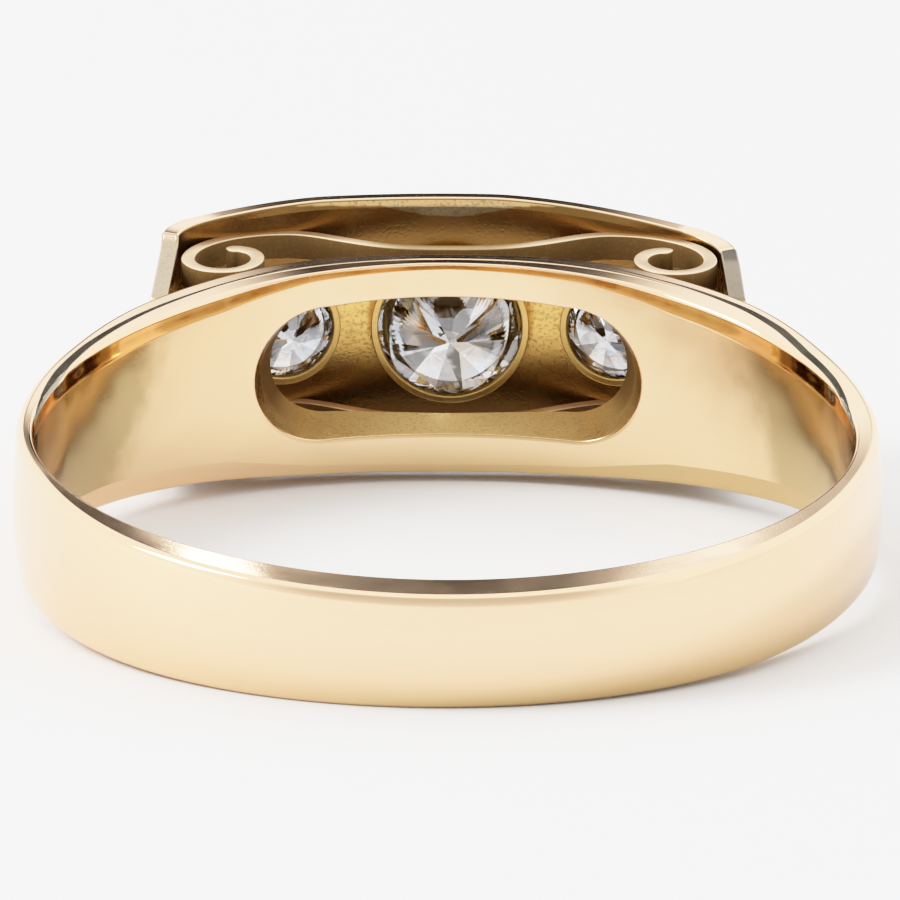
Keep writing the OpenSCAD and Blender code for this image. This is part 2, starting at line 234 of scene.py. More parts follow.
# %% Names of the finishes
FINISHES = (
    "polished_gold", "satin_gold", "brushed_gold", "filed_gold", "wire_gold", "turned_gold",
    "dull_edge", "cut_stone", "table_top",
)
finish = {name: bpy.data.materials.new(name) for name in FINISHES}
for made in finish.values():
    made.use_nodes = True
print("finishes:", ", ".join(finish))

# %% [markdown]
# ## The band
# On the real ring the band is forged and filed: thin and narrow at the back, thin again at the
# sides, and wide below the stones. A table of sections says how wide and how thick it is at each
# angle, and a smooth curve runs between the rows. The inside is a true circle, the outside
# slightly domed, and the edges are worn round.

# %% The band's width and wall
BAND_HALF = 2.52
BAND_WALL = 1.28
BAND_ROWS = np.array([
    # angle, share of the half width, share of the wall
    (-180, 0.50, 1.00),
    (-145, 0.55, 0.81),
    (-110, 0.63, 0.42),
    (-85, 0.66, 0.44),
    (-62, 0.75, 0.63),
    (-42, 0.85, 0.95),
    (-22, 0.96, 0.94),
    (0, 1.00, 0.68),
    (22, 0.96, 0.96),
    (42, 0.85, 1.00),
    (62, 0.72, 0.72),
    (85, 0.61, 0.57),
    (110, 0.56, 0.50),
    (145, 0.52, 0.86),
    (180, 0.50, 1.00),
])
# The outer face falls by the dome's height towards an edge of this radius
EDGE_R = 0.25
DOME = 0.1


def table_value(angle, column):
    """A smooth value between the rows of the table, which closes on itself."""
    rows = BAND_ROWS
    n = len(rows) - 1
    i = min(int(np.searchsorted(rows[:, 0], angle, side="right")) - 1, n - 1)

    def row(k):
        return rows[k % n][column], rows[k % n][0] + 360 * (k // n)

    (p0, a0), (p1, a1), (p2, a2), (p3, a3) = (row(k) for k in (i - 1, i, i + 1, i + 2))
    span, s = a2 - a1, (angle - a1) / (a2 - a1)
    m1, m2 = (p2 - p0) / (a2 - a0) * span, (p3 - p1) / (a3 - a1) * span
    return (
        (2 * s**3 - 3 * s**2 + 1) * p1 + (s**3 - 2 * s**2 + s) * m1
        + (3 * s**2 - 2 * s**3) * p2 + (s**3 - s**2) * m2
    )


def band_size(angle):
    return BAND_HALF * table_value(angle, 1), BAND_WALL * table_value(angle, 2)


def outer_radius(angle, z):
    """Distance of the domed outer face from the finger's axis."""
    half, wall = band_size(angle)
    return FINGER_R + wall - DOME * (z / (half - EDGE_R)) ** 2


sizes = [band_size(angle) for angle in (180, -90, 90, 0)]
print("band at the back, sides and head, width and wall:")
print(*((round(2 * half, 2), round(wall, 2)) for half, wall in sizes))

# %% [markdown]
# The rim isn't the same all round. Towards the head its inner edge is worn to a long slope, and
# right at the head a fine bead is left where two filings met. So a second table gives the rim's
# own shape at each angle, the same on both sides.

# %% The rims
RIM_ROWS = np.array([
    # angle, radius of the outer edge, width and depth of the inner rounding, length and slope of
    # its foot, height of the bead
    (0, 0.09, 0.04, 0.03, 0.14, 0.105, 0.010),
    (20, 0.11, 0.05, 0.04, 0.19, 0.11, 0.008),
    (34, 0.16, 0.10, 0.12, 0.36, 0.12, 0.0),
    (60, 0.20, 0.10, 0.14, 0.38, 0.14, 0.0),
    (90, 0.20, 0.10, 0.14, 0.28, 0.15, 0.0),
    (120, 0.18, 0.10, 0.12, 0.14, 0.15, 0.0),
    (180, 0.14, 0.08, 0.08, 0.08, 0.15, 0.0),
])
# The bead's half width, its rows in half widths, and its most as a share of the rim's flat
BEAD_REACH = 0.03
BEAD_PLACES = (-1.6, -1, 0, 1, 1.6)
BEAD_MOST = 0.2
# How far from a rounding the rim's flat is held level, and its most as a share of the flat
HOLD = 0.012
HOLD_MOST = 0.1
# The foot runs straight over this share of its length, then fades out
FOOT_STRAIGHT = 0.6
FOOT_RUNS = np.array([0, 0.3, 0.6, 0.7, 0.8, 0.9, 1])
OUTER_TURNS, INNER_TURNS = 9, 8


def rim_value(angle, column):
    return float(np.interp(abs(angle), RIM_ROWS[:, 0], RIM_ROWS[:, column]))


def edge_line(angle):
    """A section's edge from the outer face over the rim to the finger's side, (radius, height)."""
    half, wall = band_size(angle)
    radius, width, depth, foot, slope, bead = (rim_value(angle, column) for column in range(1, 7))
    flat = half - radius
    bow = DOME / (half - EDGE_R) ** 2
    # The outer rounding starts where it leaves the dome without a kink, found in a few rounds
    start = 0.0
    for _ in range(6):
        start = math.atan(2 * bow * (flat + radius * math.sin(start)))
    z1 = flat + radius * math.sin(start)
    middle = FINGER_R + wall - bow * z1**2 - radius * math.cos(start)
    turns = np.linspace(start, math.pi / 2, OUTER_TURNS)
    edge = np.stack([middle + radius * np.cos(turns), flat + radius * np.sin(turns)], axis=1)
    # The finger's side is worn: a short rounding, then the long foot
    straight = (1 + FOOT_STRAIGHT) / 2 - FOOT_RUNS
    fading = (1 - FOOT_RUNS) ** 2 / (2 * (1 - FOOT_STRAIGHT))
    lean = foot * slope * np.where(FOOT_RUNS < FOOT_STRAIGHT, straight, fading)
    turns = np.linspace(math.pi / 2, 0, INNER_TURNS)
    inner = np.stack([
        FINGER_R + lean[0] + width * (1 - np.cos(turns)), half - depth * (1 - np.sin(turns)),
    ], axis=1)
    long_foot = np.stack([FINGER_R + lean, half - depth - foot * FOOT_RUNS], axis=1)
    inner = np.concatenate([inner, long_foot[1:]])
    # A fine bead runs along the flat of the rim at the head
    length = edge[-1][0] - inner[0][0]
    reach, hold = min(BEAD_REACH / length, BEAD_MOST), min(HOLD / length, HOLD_MOST)
    shares = [hold, *(0.5 + place * reach for place in BEAD_PLACES), 1 - hold]
    rim = np.array([edge[-1] * (1 - s) + inner[0] * s for s in shares])
    rim[1 + BEAD_PLACES.index(0), 1] += bead
    return np.concatenate([edge, rim, inner])


print("points over one rim:", len(edge_line(0)))

# %% [markdown]
# Where the rim falls from the head to the sides, a file left a narrow level facet on it. It is too
# fine for the mesh. Each point of the rim carries a mark instead, how far it lies from the facet's
# middle, and the gold's material cuts the facet there, turning its normal level and painting its
# dark reflection.

# %% Marks for the crease
CREASE_ROWS = np.array([
    # angle, place across the rim from the outside, half width
    (-90, 0.97, 0.005),
    (-80, 0.90, 0.06),
    (-70, 0.75, 0.12),
    (-60, 0.60, 0.10),
    (-50, 0.56, 0.08),
    (-34, 0.52, 0.04),
    (-22, 0.50, 0.005),
    (22, 0.45, 0.005),
    (34, 0.42, 0.05),
    (45, 0.44, 0.10),
    (52, 0.50, 0.12),
    (60, 0.68, 0.11),
    (70, 0.77, 0.09),
    (80, 0.93, 0.04),
    (90, 0.97, 0.005),
])
# Only points this close to the top of the rim carry a mark of their own
CREASE_DEPTH = 0.16


def crease_marks(angle, line):
    """How far each point of a section's edge lies from the rim's crease, in its half widths."""
    half, wall = band_size(angle)
    place, reach = (np.interp(angle, CREASE_ROWS[:, 0], CREASE_ROWS[:, k]) for k in (1, 2))
    marks = (line[:, 0] - (FINGER_R + wall * (1 - place))) / reach
    on_rim = line[:, 1] > half - CREASE_DEPTH
    return np.where(on_rim, np.clip(marks, -FAR, FAR), FAR * np.sign(marks))


print("marks across the rim at 60 degrees:", np.round(crease_marks(60, edge_line(60))[::4], 1))

# %% [markdown]
# ## The window in the band
# The goldsmith saws a long hole under the stones, so that light gets in and dirt gets out. Its wall
# leans inwards a little and both its edges are broken. A boolean would leave ragged shading on
# polished metal, so the mesh is laid out: loops of points run round the hole and
# spread out to the rows of the band.

# %% The window's outlines
# On the finger's side: half the height, half the straight stretch, and the top's rise in its middle
WINDOW_HALF = 1.6
WINDOW_END = 2.7
WINDOW_BOW = 0.12
# How the wall narrows outwards, and how its ends lean
WINDOW_FLARE = 0.3
WINDOW_LEAN = math.radians(5)
WINDOW_ALONG, WINDOW_ROUND = 200, 160
# Halvings that find where a line meets a face, and the stretch that they search
HALVINGS = 50
SEARCH = (-2.0, 3.0)


def window_line(kind, t):
    """A straight line through the wall: its start on the finger's side, and its way outwards.

    kind is "top" or "bottom", with t from -1 to 1 along the straight stretch, or "left" or "right",
    with t as the angle round the end."""
    if kind in ("top", "bottom"):
        x = t * WINDOW_END
        sign = 1 if kind == "top" else -1
        lean = WINDOW_LEAN * t
        bow = WINDOW_BOW * (1 - t * t) if kind == "top" else 0
        start = np.array([x, math.sqrt(FINGER_R**2 - x * x), sign * (WINDOW_HALF + bow)])
        return start, np.array([math.sin(lean), math.cos(lean), -sign * WINDOW_FLARE])
    side = 1 if kind == "right" else -1
    axis = np.array([side * math.sin(WINDOW_LEAN), math.cos(WINDOW_LEAN), 0])
    out = np.array([side * math.cos(WINDOW_LEAN), -math.sin(WINDOW_LEAN), 0])
    spoke = math.cos(t) * out + math.sin(t) * np.array([0, 0, 1])
    centre = np.array([side * WINDOW_END, math.sqrt(FINGER_R**2 - WINDOW_END**2), 0])
    return centre + WINDOW_HALF * spoke, axis - WINDOW_FLARE * spoke


def meet(start, way, radius_at):
    """Where a line meets a surface round the finger's axis."""
    low, high = SEARCH
    for _ in range(HALVINGS):
        s = (low + high) / 2
        p = start + s * way
        angle = math.degrees(math.atan2(p[0], p[1]))
        if math.hypot(p[0], p[1]) < radius_at(angle, p[2]):
            low = s
        else:
            high = s
    return start + (low + high) / 2 * way


def window_loops():
    """The window's outline on the finger's side and on the outside, as matching points."""
    quarter = math.pi / 2
    stretches = (
        ("top", -1, 1, WINDOW_ALONG), ("right", quarter, -quarter, WINDOW_ROUND),
        ("bottom", 1, -1, WINDOW_ALONG), ("left", -quarter, quarter, WINDOW_ROUND),
    )
    lines = [
        window_line(kind, t) for kind, begin, end, steps in stretches
        for t in np.linspace(begin, end, steps, endpoint=False)
    ]
    inside = np.array([meet(*line, lambda a, z: FINGER_R) for line in lines])
    outside = np.array([meet(*line, outer_radius) for line in lines])
    return inside, outside


window_inside, window_outside = window_loops()
print("window inside, in mm:", np.round(np.ptp(window_inside, axis=0)[[0, 2]], 2))
print("window outside, in mm:", np.round(np.ptp(window_outside, axis=0)[[0, 2]], 2))

# %% [markdown]
# ## Sewing the band
# Away from the window the band is a plain loft. Near the head, the outer face and the finger's side
# are laid round the window instead. Both share their border points, so they sew together. The rows
# are laid out in the flat, as length round the finger and height, and then put on the curved face.

# %% Laying rows round a hole
# Rows crowd towards the hole by this power
CROWDING = 1.4
# Steps in which a loop is searched for the partners of a border
SEARCH_STEPS = 4000


def between_loops(inner, outer, layers, surface):
    """Rows of points from an inner loop to an outer one, each row laid on a surface."""
    shares = np.linspace(0, 1, layers + 1) ** CROWDING
    return np.array([surface(inner * (1 - s) + outer * s) for s in shares])


def sample(loop, shares):
    """Points of a closed loop, by their share of its count."""
    x = shares * len(loop)
    i = np.floor(x).astype(int)
    f = (x - i)[:, None]
    return loop[i % len(loop)] * (1 - f) + loop[(i + 1) % len(loop)] * f


def heading(flat):
    """The way from a loop's middle to its points, in shares of its own half length and height."""
    low, high = flat.min(0), flat.max(0)
    x, z = ((flat - (low + high) / 2) / (high - low)).T
    return np.unwrap(np.arctan2(x, z))


def match_loop(loop, border):
    """For each border point, where along a closed loop its partner lies, from 0 to 1.

    Partners have the same heading, so that the rows between them don't cross."""
    fine = np.linspace(0, 1, SEARCH_STEPS + 1)
    own, target = heading(sample(loop, fine % 1)), heading(border)
    turn = 2 * math.pi
    own += turn * round((target[0] - own[0]) / turn)
    own = np.concatenate([own[:-1] - turn, own[:-1], own + turn])
    share = np.concatenate([fine[:-1] - 1, fine[:-1], fine + 1])
    keep = np.concatenate([[True], np.diff(np.maximum.accumulate(own)) > 1e-9])
    return np.interp(target, own[keep], share[keep]) % 1


def border_of(face, rows):
    """The border of some rows of a face, clockwise from its upper left corner."""
    part = face[rows]
    return np.concatenate([part[:, 0], part[-1][1:], part[::-1][1:, -1], part[0][::-1][1:-1]])


circle = np.array([(math.sin(a), math.cos(a)) for a in range(7)])
print("shares of a loop matched to itself:", np.round(match_loop(circle, circle), 2))

# %% Laying points on the band


def on_band(angle, line):
    """Points given as (radius, height) at an angle of the band."""
    a = math.radians(angle)
    line = np.asarray(line, float)
    return np.stack([line[:, 0] * math.sin(a), line[:, 0] * math.cos(a), line[:, 1]], axis=1)


def flat_of(points):
    """Points as (length round the finger's side, height), to lay out a mesh in the flat."""
    return np.stack([np.arctan2(points[:, 0], points[:, 1]) * FINGER_R, points[:, 2]], axis=1)


def lay_on(radius_at):
    def surface(flat):
        out = []
        for length, z in flat:
            a = length / FINGER_R
            r = radius_at(math.degrees(a), z)
            out.append((r * math.sin(a), r * math.cos(a), z))
        return np.array(out)
    return surface


def widened(flat, width):
    """A clockwise loop in the flat, moved outwards by a width."""
    way = np.roll(flat, -1, axis=0) - np.roll(flat, 1, axis=0)
    way /= np.linalg.norm(way, axis=1)[:, None]
    return flat + np.stack([-way[:, 1], way[:, 0]], axis=1) * width


print("window in the flat, in mm:", np.round(np.ptp(flat_of(window_inside), axis=0), 2))

# %% Make the band
# Sections round the band, points across its faces, and rows from the window to the sections
BAND_STEPS = 480
FACE_STEPS = 16
LAYERS = 9
# The faces are laid round the window up to this angle, in degrees
HEAD_REACH = 36
# The width of the window's broken edges, and the rows of the inner one, which is polished bright
WINDOW_EDGE = 0.08
ARRIS_ROWS = 6


def band_faces(angles, edges):
    """The outer face and the finger's side, as one row of points for each section."""
    faces_out, faces_in = [], []
    for a, e in zip(angles, edges):
        out_z = np.linspace(e[0][1], -e[0][1], FACE_STEPS + 1)
        in_z = np.linspace(e[-1][1], -e[-1][1], FACE_STEPS + 1)
        faces_out.append(on_band(a, [(outer_radius(a, z), z) for z in out_z]))
        faces_in.append(on_band(a, [(FINGER_R, z) for z in in_z]))
    return np.array(faces_out), np.array(faces_in)


def cut_window(band, faces_out, faces_in, head):
    """Lays both faces round the window, and its wall between them."""
    picks, loops = None, []
    for face, outline, surface, kind, side in (
        (faces_in, window_inside, lay_on(lambda a, z: FINGER_R), INNER, -FAR),
        (faces_out, window_outside, lay_on(outer_radius), OUTER, FAR),
    ):
        border = flat_of(border_of(face, head))
        if picks is None:
            picks = match_loop(flat_of(outline), border)
        corner = sample(outline, picks)
        rim = surface(widened(flat_of(corner), WINDOW_EDGE))
        rows = between_loops(flat_of(rim), border, LAYERS, surface)
        band.grid(rows, finish=kind, round_points=True, marks=side)
        loops.append((rim, corner))
    (rim_in, corner_in), (rim_out, corner_out) = loops
    wall = [
        np.concatenate([[a], rounded([a, b, c, d], (WINDOW_EDGE, WINDOW_EDGE), 4), [d]])
        for a, b, c, d in zip(rim_in, corner_in, corner_out, rim_out)
    ]
    wall = np.array(wall).transpose(1, 0, 2)
    band.grid(wall[:ARRIS_ROWS], finish=OUTER, round_points=True, marks=-FAR)
    band.grid(wall[ARRIS_ROWS - 1:], finish=CUT, round_points=True)


def make_band():
    angles = [-180 + 360 * i / BAND_STEPS for i in range(BAND_STEPS)]
    edges = [edge_line(a) for a in angles]
    upper = np.array([on_band(a, e) for a, e in zip(angles, edges)])
    faces_out, faces_in = band_faces(angles, edges)
    marks = [crease_marks(a, e) for a, e in zip(angles, edges)]
    band = Shell()
    for rim in (upper, upper * (1, 1, -1)):
        band.grid(rim, round_rows=True, marks=marks)
    head = [i for i, a in enumerate(angles) if abs(a) <= HEAD_REACH]
    around = list(range(head[-1], BAND_STEPS)) + list(range(0, head[0] + 1))
    band.grid(faces_out[around])
    band.grid(faces_in[around], finish=INNER, marks=-FAR)
    cut_window(band, faces_out, faces_in, head)
    return band.sew("band", [finish["polished_gold"], finish["satin_gold"], finish["filed_gold"]])


band = make_band()

# %% [markdown]
# ## The head plate
# A strip of sheet gold is filed to its outline, bent down at both ends and soldered onto the
# shoulders. Its top is a shallow arch, its long edges are straight in the middle and filed in
# towards the ends. It is modelled as the strip it is: a row of sections along the bent line.

# %% Lengths of the head
HEAD_TOP = 12.9
ARCH_R = 16.0
ARCH_Y = HEAD_TOP - ARCH_R
PLATE_T = 0.45
PLATE_HALF = 3.02
HEAD_HALF = 6.65
END_T = 0.4
END_TOP_HALF, END_FOOT_HALF = 2.5, 2.1
# How far the end walls lean outwards at their feet
END_FLARE = 0.14
SOLDER = 0.06
# For each end: where the long edge stops being straight, how much it is filed in, the bend's radius
ENDS = {-1: (3.0, 0.35, 1.1), 1: (1.0, 0.65, 1.5)}
FILING_POWER = 1.5
# The height over which an end wall steps from the plate's width to its own
STEP_SOFT = 0.15


def shoulder_y(x):
    """Height of the band's outer face above the finger's axis, at a distance to the side."""
    angle = math.degrees(math.asin(x / (FINGER_R + BAND_WALL)))
    return math.sqrt((FINGER_R + band_size(angle)[1]) ** 2 - x * x)


FOOT_Y = shoulder_y(HEAD_HALF) - 4 * SOLDER
CORNER_Y = ARCH_Y + math.sqrt((ARCH_R - PLATE_T) ** 2 - (HEAD_HALF - END_T) ** 2) - END_T


def plate_half_at(side, x):
    start, filed, _ = ENDS[side]
    s = min(max(0.0, (x - start) / (HEAD_HALF - start)), 1)
    return PLATE_HALF - filed * s**FILING_POWER


def wall_half_at(side, y):
    """Half width of an end wall, with a short step where the plate ends."""
    share = (y - FOOT_Y) / (CORNER_Y - FOOT_Y)
    narrow = END_FOOT_HALF + (END_TOP_HALF - END_FOOT_HALF) * min(share, 1)
    step = min(max((y - CORNER_Y) / STEP_SOFT + 0.5, 0), 1)
    full = plate_half_at(side, HEAD_HALF)
    return min(full, narrow + max(full - narrow, 0) * step * step * (3 - 2 * step))

print("end walls from", round(FOOT_Y, 2), "to", round(CORNER_Y, 2), "mm above the finger's axis")

# %% The plate's line of sections
CENTRE_D, SIDE_D = 3.5, 2.46
SIDE_ANGLE = math.asin(4 / ARCH_R)
# The plate's top is laid out in a cell for each stone, with this many steps along it
CELL_EDGE = SIDE_ANGLE / 2
SIDE_CELL, MIDDLE_CELL = 30, 36
# Where the cells end, the steps from there to the bend, and the points of the bend
ARC_END = math.radians(20)
LEAD_STEPS = 4
BEND_POINTS = 25
# Rows of an end wall: round its step, measured from the corner, and further down
STEP_ROWS = (0.08, 0.04, 0, -0.04, -0.08)
WALL_START, WALL_STEPS = 0.3, 12


def bent_line(side, radius, reach, bend, wall_ys):
    """The bend and the end wall of one side, as points seen along the finger."""
    cx = reach - bend
    cy = ARCH_Y + math.sqrt((radius - bend) ** 2 - cx**2)
    a = math.atan2(cx, cy - ARCH_Y)
    lead = np.linspace(ARC_END, a, LEAD_STEPS + 1)[:-1]
    turns = np.linspace(a, math.pi / 2, BEND_POINTS)
    points = [(radius * math.sin(b), ARCH_Y + radius * math.cos(b)) for b in lead]
    points += [(cx + bend * math.sin(b), cy + bend * math.cos(b)) for b in turns]
    points += [(reach + END_FLARE * (cy - y) / (cy - FOOT_Y), y) for y in wall_ys if y < cy - 1e-6]
    return np.array([(side * x, y) for x, y in points])


def plate_end(side):
    """Outer points, inner points and half widths of one bent end, from the cells to its foot."""
    bend = ENDS[side][2]
    ys = [CORNER_Y + d for d in STEP_ROWS]
    ys += list(np.linspace(CORNER_Y - WALL_START, FOOT_Y, WALL_STEPS))
    outer = bent_line(side, ARCH_R, HEAD_HALF, bend, ys)
    inner = bent_line(side, ARCH_R - PLATE_T, HEAD_HALF - END_T, bend - END_T / 2, ys)
    n = min(len(outer), len(inner))
    bent = LEAD_STEPS + BEND_POINTS
    outer, inner = (np.concatenate([line[:bent], line[-(n - bent):]]) for line in (outer, inner))
    half = [
        plate_half_at(side, abs(x)) if y > CORNER_Y + STEP_SOFT / 2 else wall_half_at(side, y)
        for x, y in outer
    ]
    return outer, inner, half


def plate_sections():
    """Outer points, inner points and half widths, from the left foot to the right foot."""
    arc = np.concatenate([
        np.linspace(-ARC_END, -CELL_EDGE, SIDE_CELL + 1)[:-1],
        np.linspace(-CELL_EDGE, CELL_EDGE, MIDDLE_CELL + 1)[:-1],
        np.linspace(CELL_EDGE, ARC_END, SIDE_CELL + 1),
    ])
    mid_out, mid_in = (
        np.stack([radius * np.sin(arc), ARCH_Y + radius * np.cos(arc)], axis=1)
        for radius in (ARCH_R, ARCH_R - PLATE_T)
    )
    mid_half = [plate_half_at(1 if x > 0 else -1, abs(x)) for x in mid_out[:, 0]]
    left, right = plate_end(-1), plate_end(1)
    outer, inner, half = (
        np.concatenate([to_left[:0:-1], middle, to_right[1:]])
        for to_left, middle, to_right in zip(left, (mid_out, mid_in, mid_half), right)
    )
    return outer, inner, half, len(left[0]) - 1


print("plate sections from foot to foot:", len(plate_sections()[0]))

# %% Laying points on the arch


def arch_flat(points):
    """Points of the arch as (length along its top, height)."""
    angles = np.arctan2(points[:, 0], points[:, 1] - ARCH_Y)
    return np.stack([angles * ARCH_R, points[:, 2]], axis=1)


def lay_on_arch(radius):
    def surface(flat):
        a = flat[:, 0] / ARCH_R
        return np.stack([radius * np.sin(a), ARCH_Y + radius * np.cos(a), flat[:, 1]], axis=1)
    return surface


crown = lay_on_arch(ARCH_R)(np.array([[0.0, 0.0]]))
print("top of the arch:", crown[0], "and back in the flat:", arch_flat(crown)[0])

# %% Make the plate
PLATE_EDGE = 0.06
PLATE_STEPS = 20
# This many sections at each end have dull edges
WALL_ROWS = 15
# The underside's long edges are filed to a bevel in the middle of the plate: its height, its
# depth, what is left of it at the ends, its rounding, and where it runs out over which length
BEVEL_H, BEVEL_T, BEVEL_LEFT, BEVEL_ROUND = 0.2, 0.06, 0.004, 0.03
BEVEL_END, BEVEL_FADE = 5.2, 2
# The first points of a section's edge belong to the polished outside
EDGE_POINTS = 12
# Points round a stone's hole, and rows from it to the edge of its cell
HOLE_STEPS = 240
HOLE_LAYERS = 7


def plate_rows(outer, inner, halves):
    """The long edge of each section, and its rows across both faces."""
    edge, faces_out, faces_in = [], [], []
    for (ox, oy), (ix, iy), half in zip(outer, inner, halves):
        fade = min(max((BEVEL_END - abs(ox)) / BEVEL_FADE, 0), 1)
        share = (BEVEL_LEFT + BEVEL_T * fade) / PLATE_T
        bx, by = ix + (ox - ix) * share, iy + (oy - iy) * share
        line = rounded(
            [(ox, oy, 0), (ox, oy, half), (bx, by, half), (ix, iy, half - BEVEL_H), (ix, iy, 0)],
            (PLATE_EDGE, PLATE_EDGE, BEVEL_ROUND),
        )
        edge.append(line)
        for face, p in ((faces_out, line[0]), (faces_in, line[-1])):
            face.append([(p[0], p[1], z) for z in np.linspace(p[2], -p[2], PLATE_STEPS + 1)])
    return np.array(edge), np.array(faces_out), np.array(faces_in)


def cut_hole(plate, faces, cell, angle, d):
    """Lays both faces round the hole for a stone's collet, and the hole's wall between them."""
    rings, picks = [], None
    turns = np.linspace(0, 2 * math.pi, HOLE_STEPS, endpoint=False)
    r = d / 2 + SOLDER
    for face, radius, kind in zip(faces, (ARCH_R, ARCH_R - PLATE_T), (OUTER, INNER)):
        surface = lay_on_arch(radius)
        border = arch_flat(border_of(face, cell))
        along = (angle + np.arcsin(r * np.sin(turns) / radius)) * ARCH_R
        hole = np.stack([along, r * np.cos(turns)], axis=1)
        if picks is None:
            picks = match_loop(hole, border)
        hole = sample(hole, picks)
        rows = between_loops(hole, border, HOLE_LAYERS, surface)
        plate.grid(rows, finish=kind, round_points=True)
        rings.append(surface(hole))
    plate.grid(rings, round_points=True)


def make_plate():
    outer, inner, halves, first = plate_sections()
    edge, *faces = plate_rows(outer, inner, halves)
    plate = Shell()
    stretches = (
        (edge[:WALL_ROWS], CUT), (edge[WALL_ROWS - 1:1 - WALL_ROWS], OUTER),
        (edge[-WALL_ROWS:], CUT),
    )
    for side in (1, -1):
        for part, kind in stretches:
            plate.grid(part[:, :EDGE_POINTS] * (1, 1, side), finish=kind)
            plate.grid(part[:, EDGE_POINTS - 1:] * (1, 1, side), finish=INNER)
    borders = np.cumsum([first, SIDE_CELL, MIDDLE_CELL, SIDE_CELL])
    for face, kind in zip(faces, (OUTER, INNER)):
        plate.grid(face[:first + 1], finish=kind)
        plate.grid(face[borders[-1]:], finish=kind)
    stones = ((-SIDE_ANGLE, SIDE_D), (0, CENTRE_D), (SIDE_ANGLE, SIDE_D))
    for begin, end, (angle, d) in zip(borders, borders[1:], stones):
        cut_hole(plate, faces, list(range(begin, end + 1)), angle, d)
    for k in (0, -1):
        lower = edge[k] * (1, 1, -1)
        plate.cap(np.concatenate([
            faces[0][k][::-1], edge[k][1:], faces[1][k][1:], lower[::-1][1:-1],
        ]))
    kinds = ("polished_gold", "brushed_gold", "dull_edge")
    return plate.sew("head_plate", [finish[kind] for kind in kinds])


plate = make_plate()

# %% [markdown]
# ## Geometry Nodes for what is drawn, turned and repeated
# Three kinds of part follow a rule: the scroll strips follow a bent line, the collets are turned
# round an axis, and a brilliant repeats one eighth of itself. Each gets a small node tree. The
# result becomes a plain mesh, so that nothing is left to compute later.

# %% Building a node tree


def feed(tree, socket, value):
    """Links a socket to a node's output, or sets it to a plain value."""
    if isinstance(value, bpy.types.NodeSocket):
        tree.links.new(value, socket)
    else:
        socket.default_value = value


def add(tree, kind, links=(), **settings):
    """Adds a node, with its own settings, and links or sets its inputs by name or number."""
    node = tree.nodes.new(kind)
    for name, value in settings.items():
        setattr(node, name, value)
    for key, value in dict(links).items():
        feed(tree, node.inputs[key], value)
    return node


def maths(tree, operation, *values):
    return add(tree, "ShaderNodeMath", dict(enumerate(values)), operation=operation).outputs[0]


def along_axes(tree, **axes):
    """A vector from some of its axes, the others being 0."""
    node = add(tree, "ShaderNodeCombineXYZ", {axis.upper(): v for axis, v in axes.items()})
    return node.outputs[0]


def new_tree(name, numbers):
    """A node tree with a Geometry input, number inputs and a Material input."""
    tree = bpy.data.node_groups.new(name, "GeometryNodeTree")
    for label, kind in (("Geometry", "Geometry"), *numbers, ("Material", "Material")):
        tree.interface.new_socket(label, in_out="INPUT", socket_type="NodeSocket" + kind)
    tree.interface.new_socket("Geometry", in_out="OUTPUT", socket_type="NodeSocketGeometry")
    return tree, tree.nodes.new("NodeGroupInput"), tree.nodes.new("NodeGroupOutput")


def finish_tree(tree, start, end, geometry):
    whole = add(tree, "GeometryNodeRealizeInstances", {"Geometry": geometry})
    dressed = add(tree, "GeometryNodeSetMaterial", {
        "Geometry": whole.outputs[0], "Material": start.outputs["Material"],
    })
    tree.links.new(dressed.outputs[0], end.inputs[0])
    print(tree.name, "has", len(tree.nodes), "nodes")

# %% Running a node tree
DRAWING_MARKS = ("outwards", "across", "half_thickness")


def run_tree(tree, name, points, edges, faces=(), layers=(), smooth=True, **numbers):
    """Runs a tree on a small mesh of the upright ring and returns the piece at rest."""
    data = bpy.data.meshes.new(name + "_drawing")
    data.from_pydata([tuple(p) for p in points], edges, faces)
    for label, values in dict(layers).items():
        data.attributes.new(label, "FLOAT", "POINT").data.foreach_set("value", values)
    piece = put_in_scene(name, data)
    modifier = piece.modifiers.new(tree.name, "NODES")
    modifier.node_group = tree
    # A modifier knows its inputs by their identifiers, not by their names
    for item in tree.interface.items_tree:
        if item.in_out == "INPUT" and item.name in numbers:
            modifier[item.identifier] = numbers[item.name]
    ready = piece.evaluated_get(bpy.context.evaluated_depsgraph_get())
    made = bpy.data.meshes.new_from_object(ready)
    piece.modifiers.clear()
    piece.data = made
    made.name = name
    bpy.data.meshes.remove(data)
    sew_up(made, name)
    for label in [a.name for a in made.attributes if a.name in DRAWING_MARKS]:
        made.attributes.remove(made.attributes[label])
    made.shade_smooth() if smooth else made.shade_flat()
    return piece


print("a tree's marks that aren't kept:", ", ".join(DRAWING_MARKS))

# %% [markdown]
# ## The scroll strips
# On each side of the gallery a strip of flat wire runs along the underside of the plate, curls
# round at both ends and is soldered where it touches. The tips are rounded and a little thicker.
# The line is drawn once. The tree sweeps a small rounded rectangle along it.

# %% Draw the strip's line
STRIP_Z, STRIP_W, STRIP_T = 2.35, 0.6, 0.32
# The wave: where it is highest, how far it dips in the middle, and how its dip widens
CREST_X, STRIP_DIP, DIP_POWER = 3.75, 1.1, 1.5
CURL_W, CURL_DROP, CURL_GAP = 1.6, 0.93, 0.08
# The tip's thickness, and how far it curls in and up, in shares of the curl
TIP_T = 0.44
TIP_INWARD, TIP_UP = 0.17, 0.8
OUT_X = HEAD_HALF - END_T - CURL_GAP - STRIP_T / 2
CURL_C = OUT_X - CURL_W / 2
CREST_Y = ARCH_Y + math.sqrt((ARCH_R - PLATE_T) ** 2 - CREST_X**2) - STRIP_T / 2 + SOLDER
CURL_Y = shoulder_y(CURL_C) + STRIP_T / 2 - SOLDER + CURL_DROP
TIP_X = CURL_C - CURL_W * TIP_INWARD
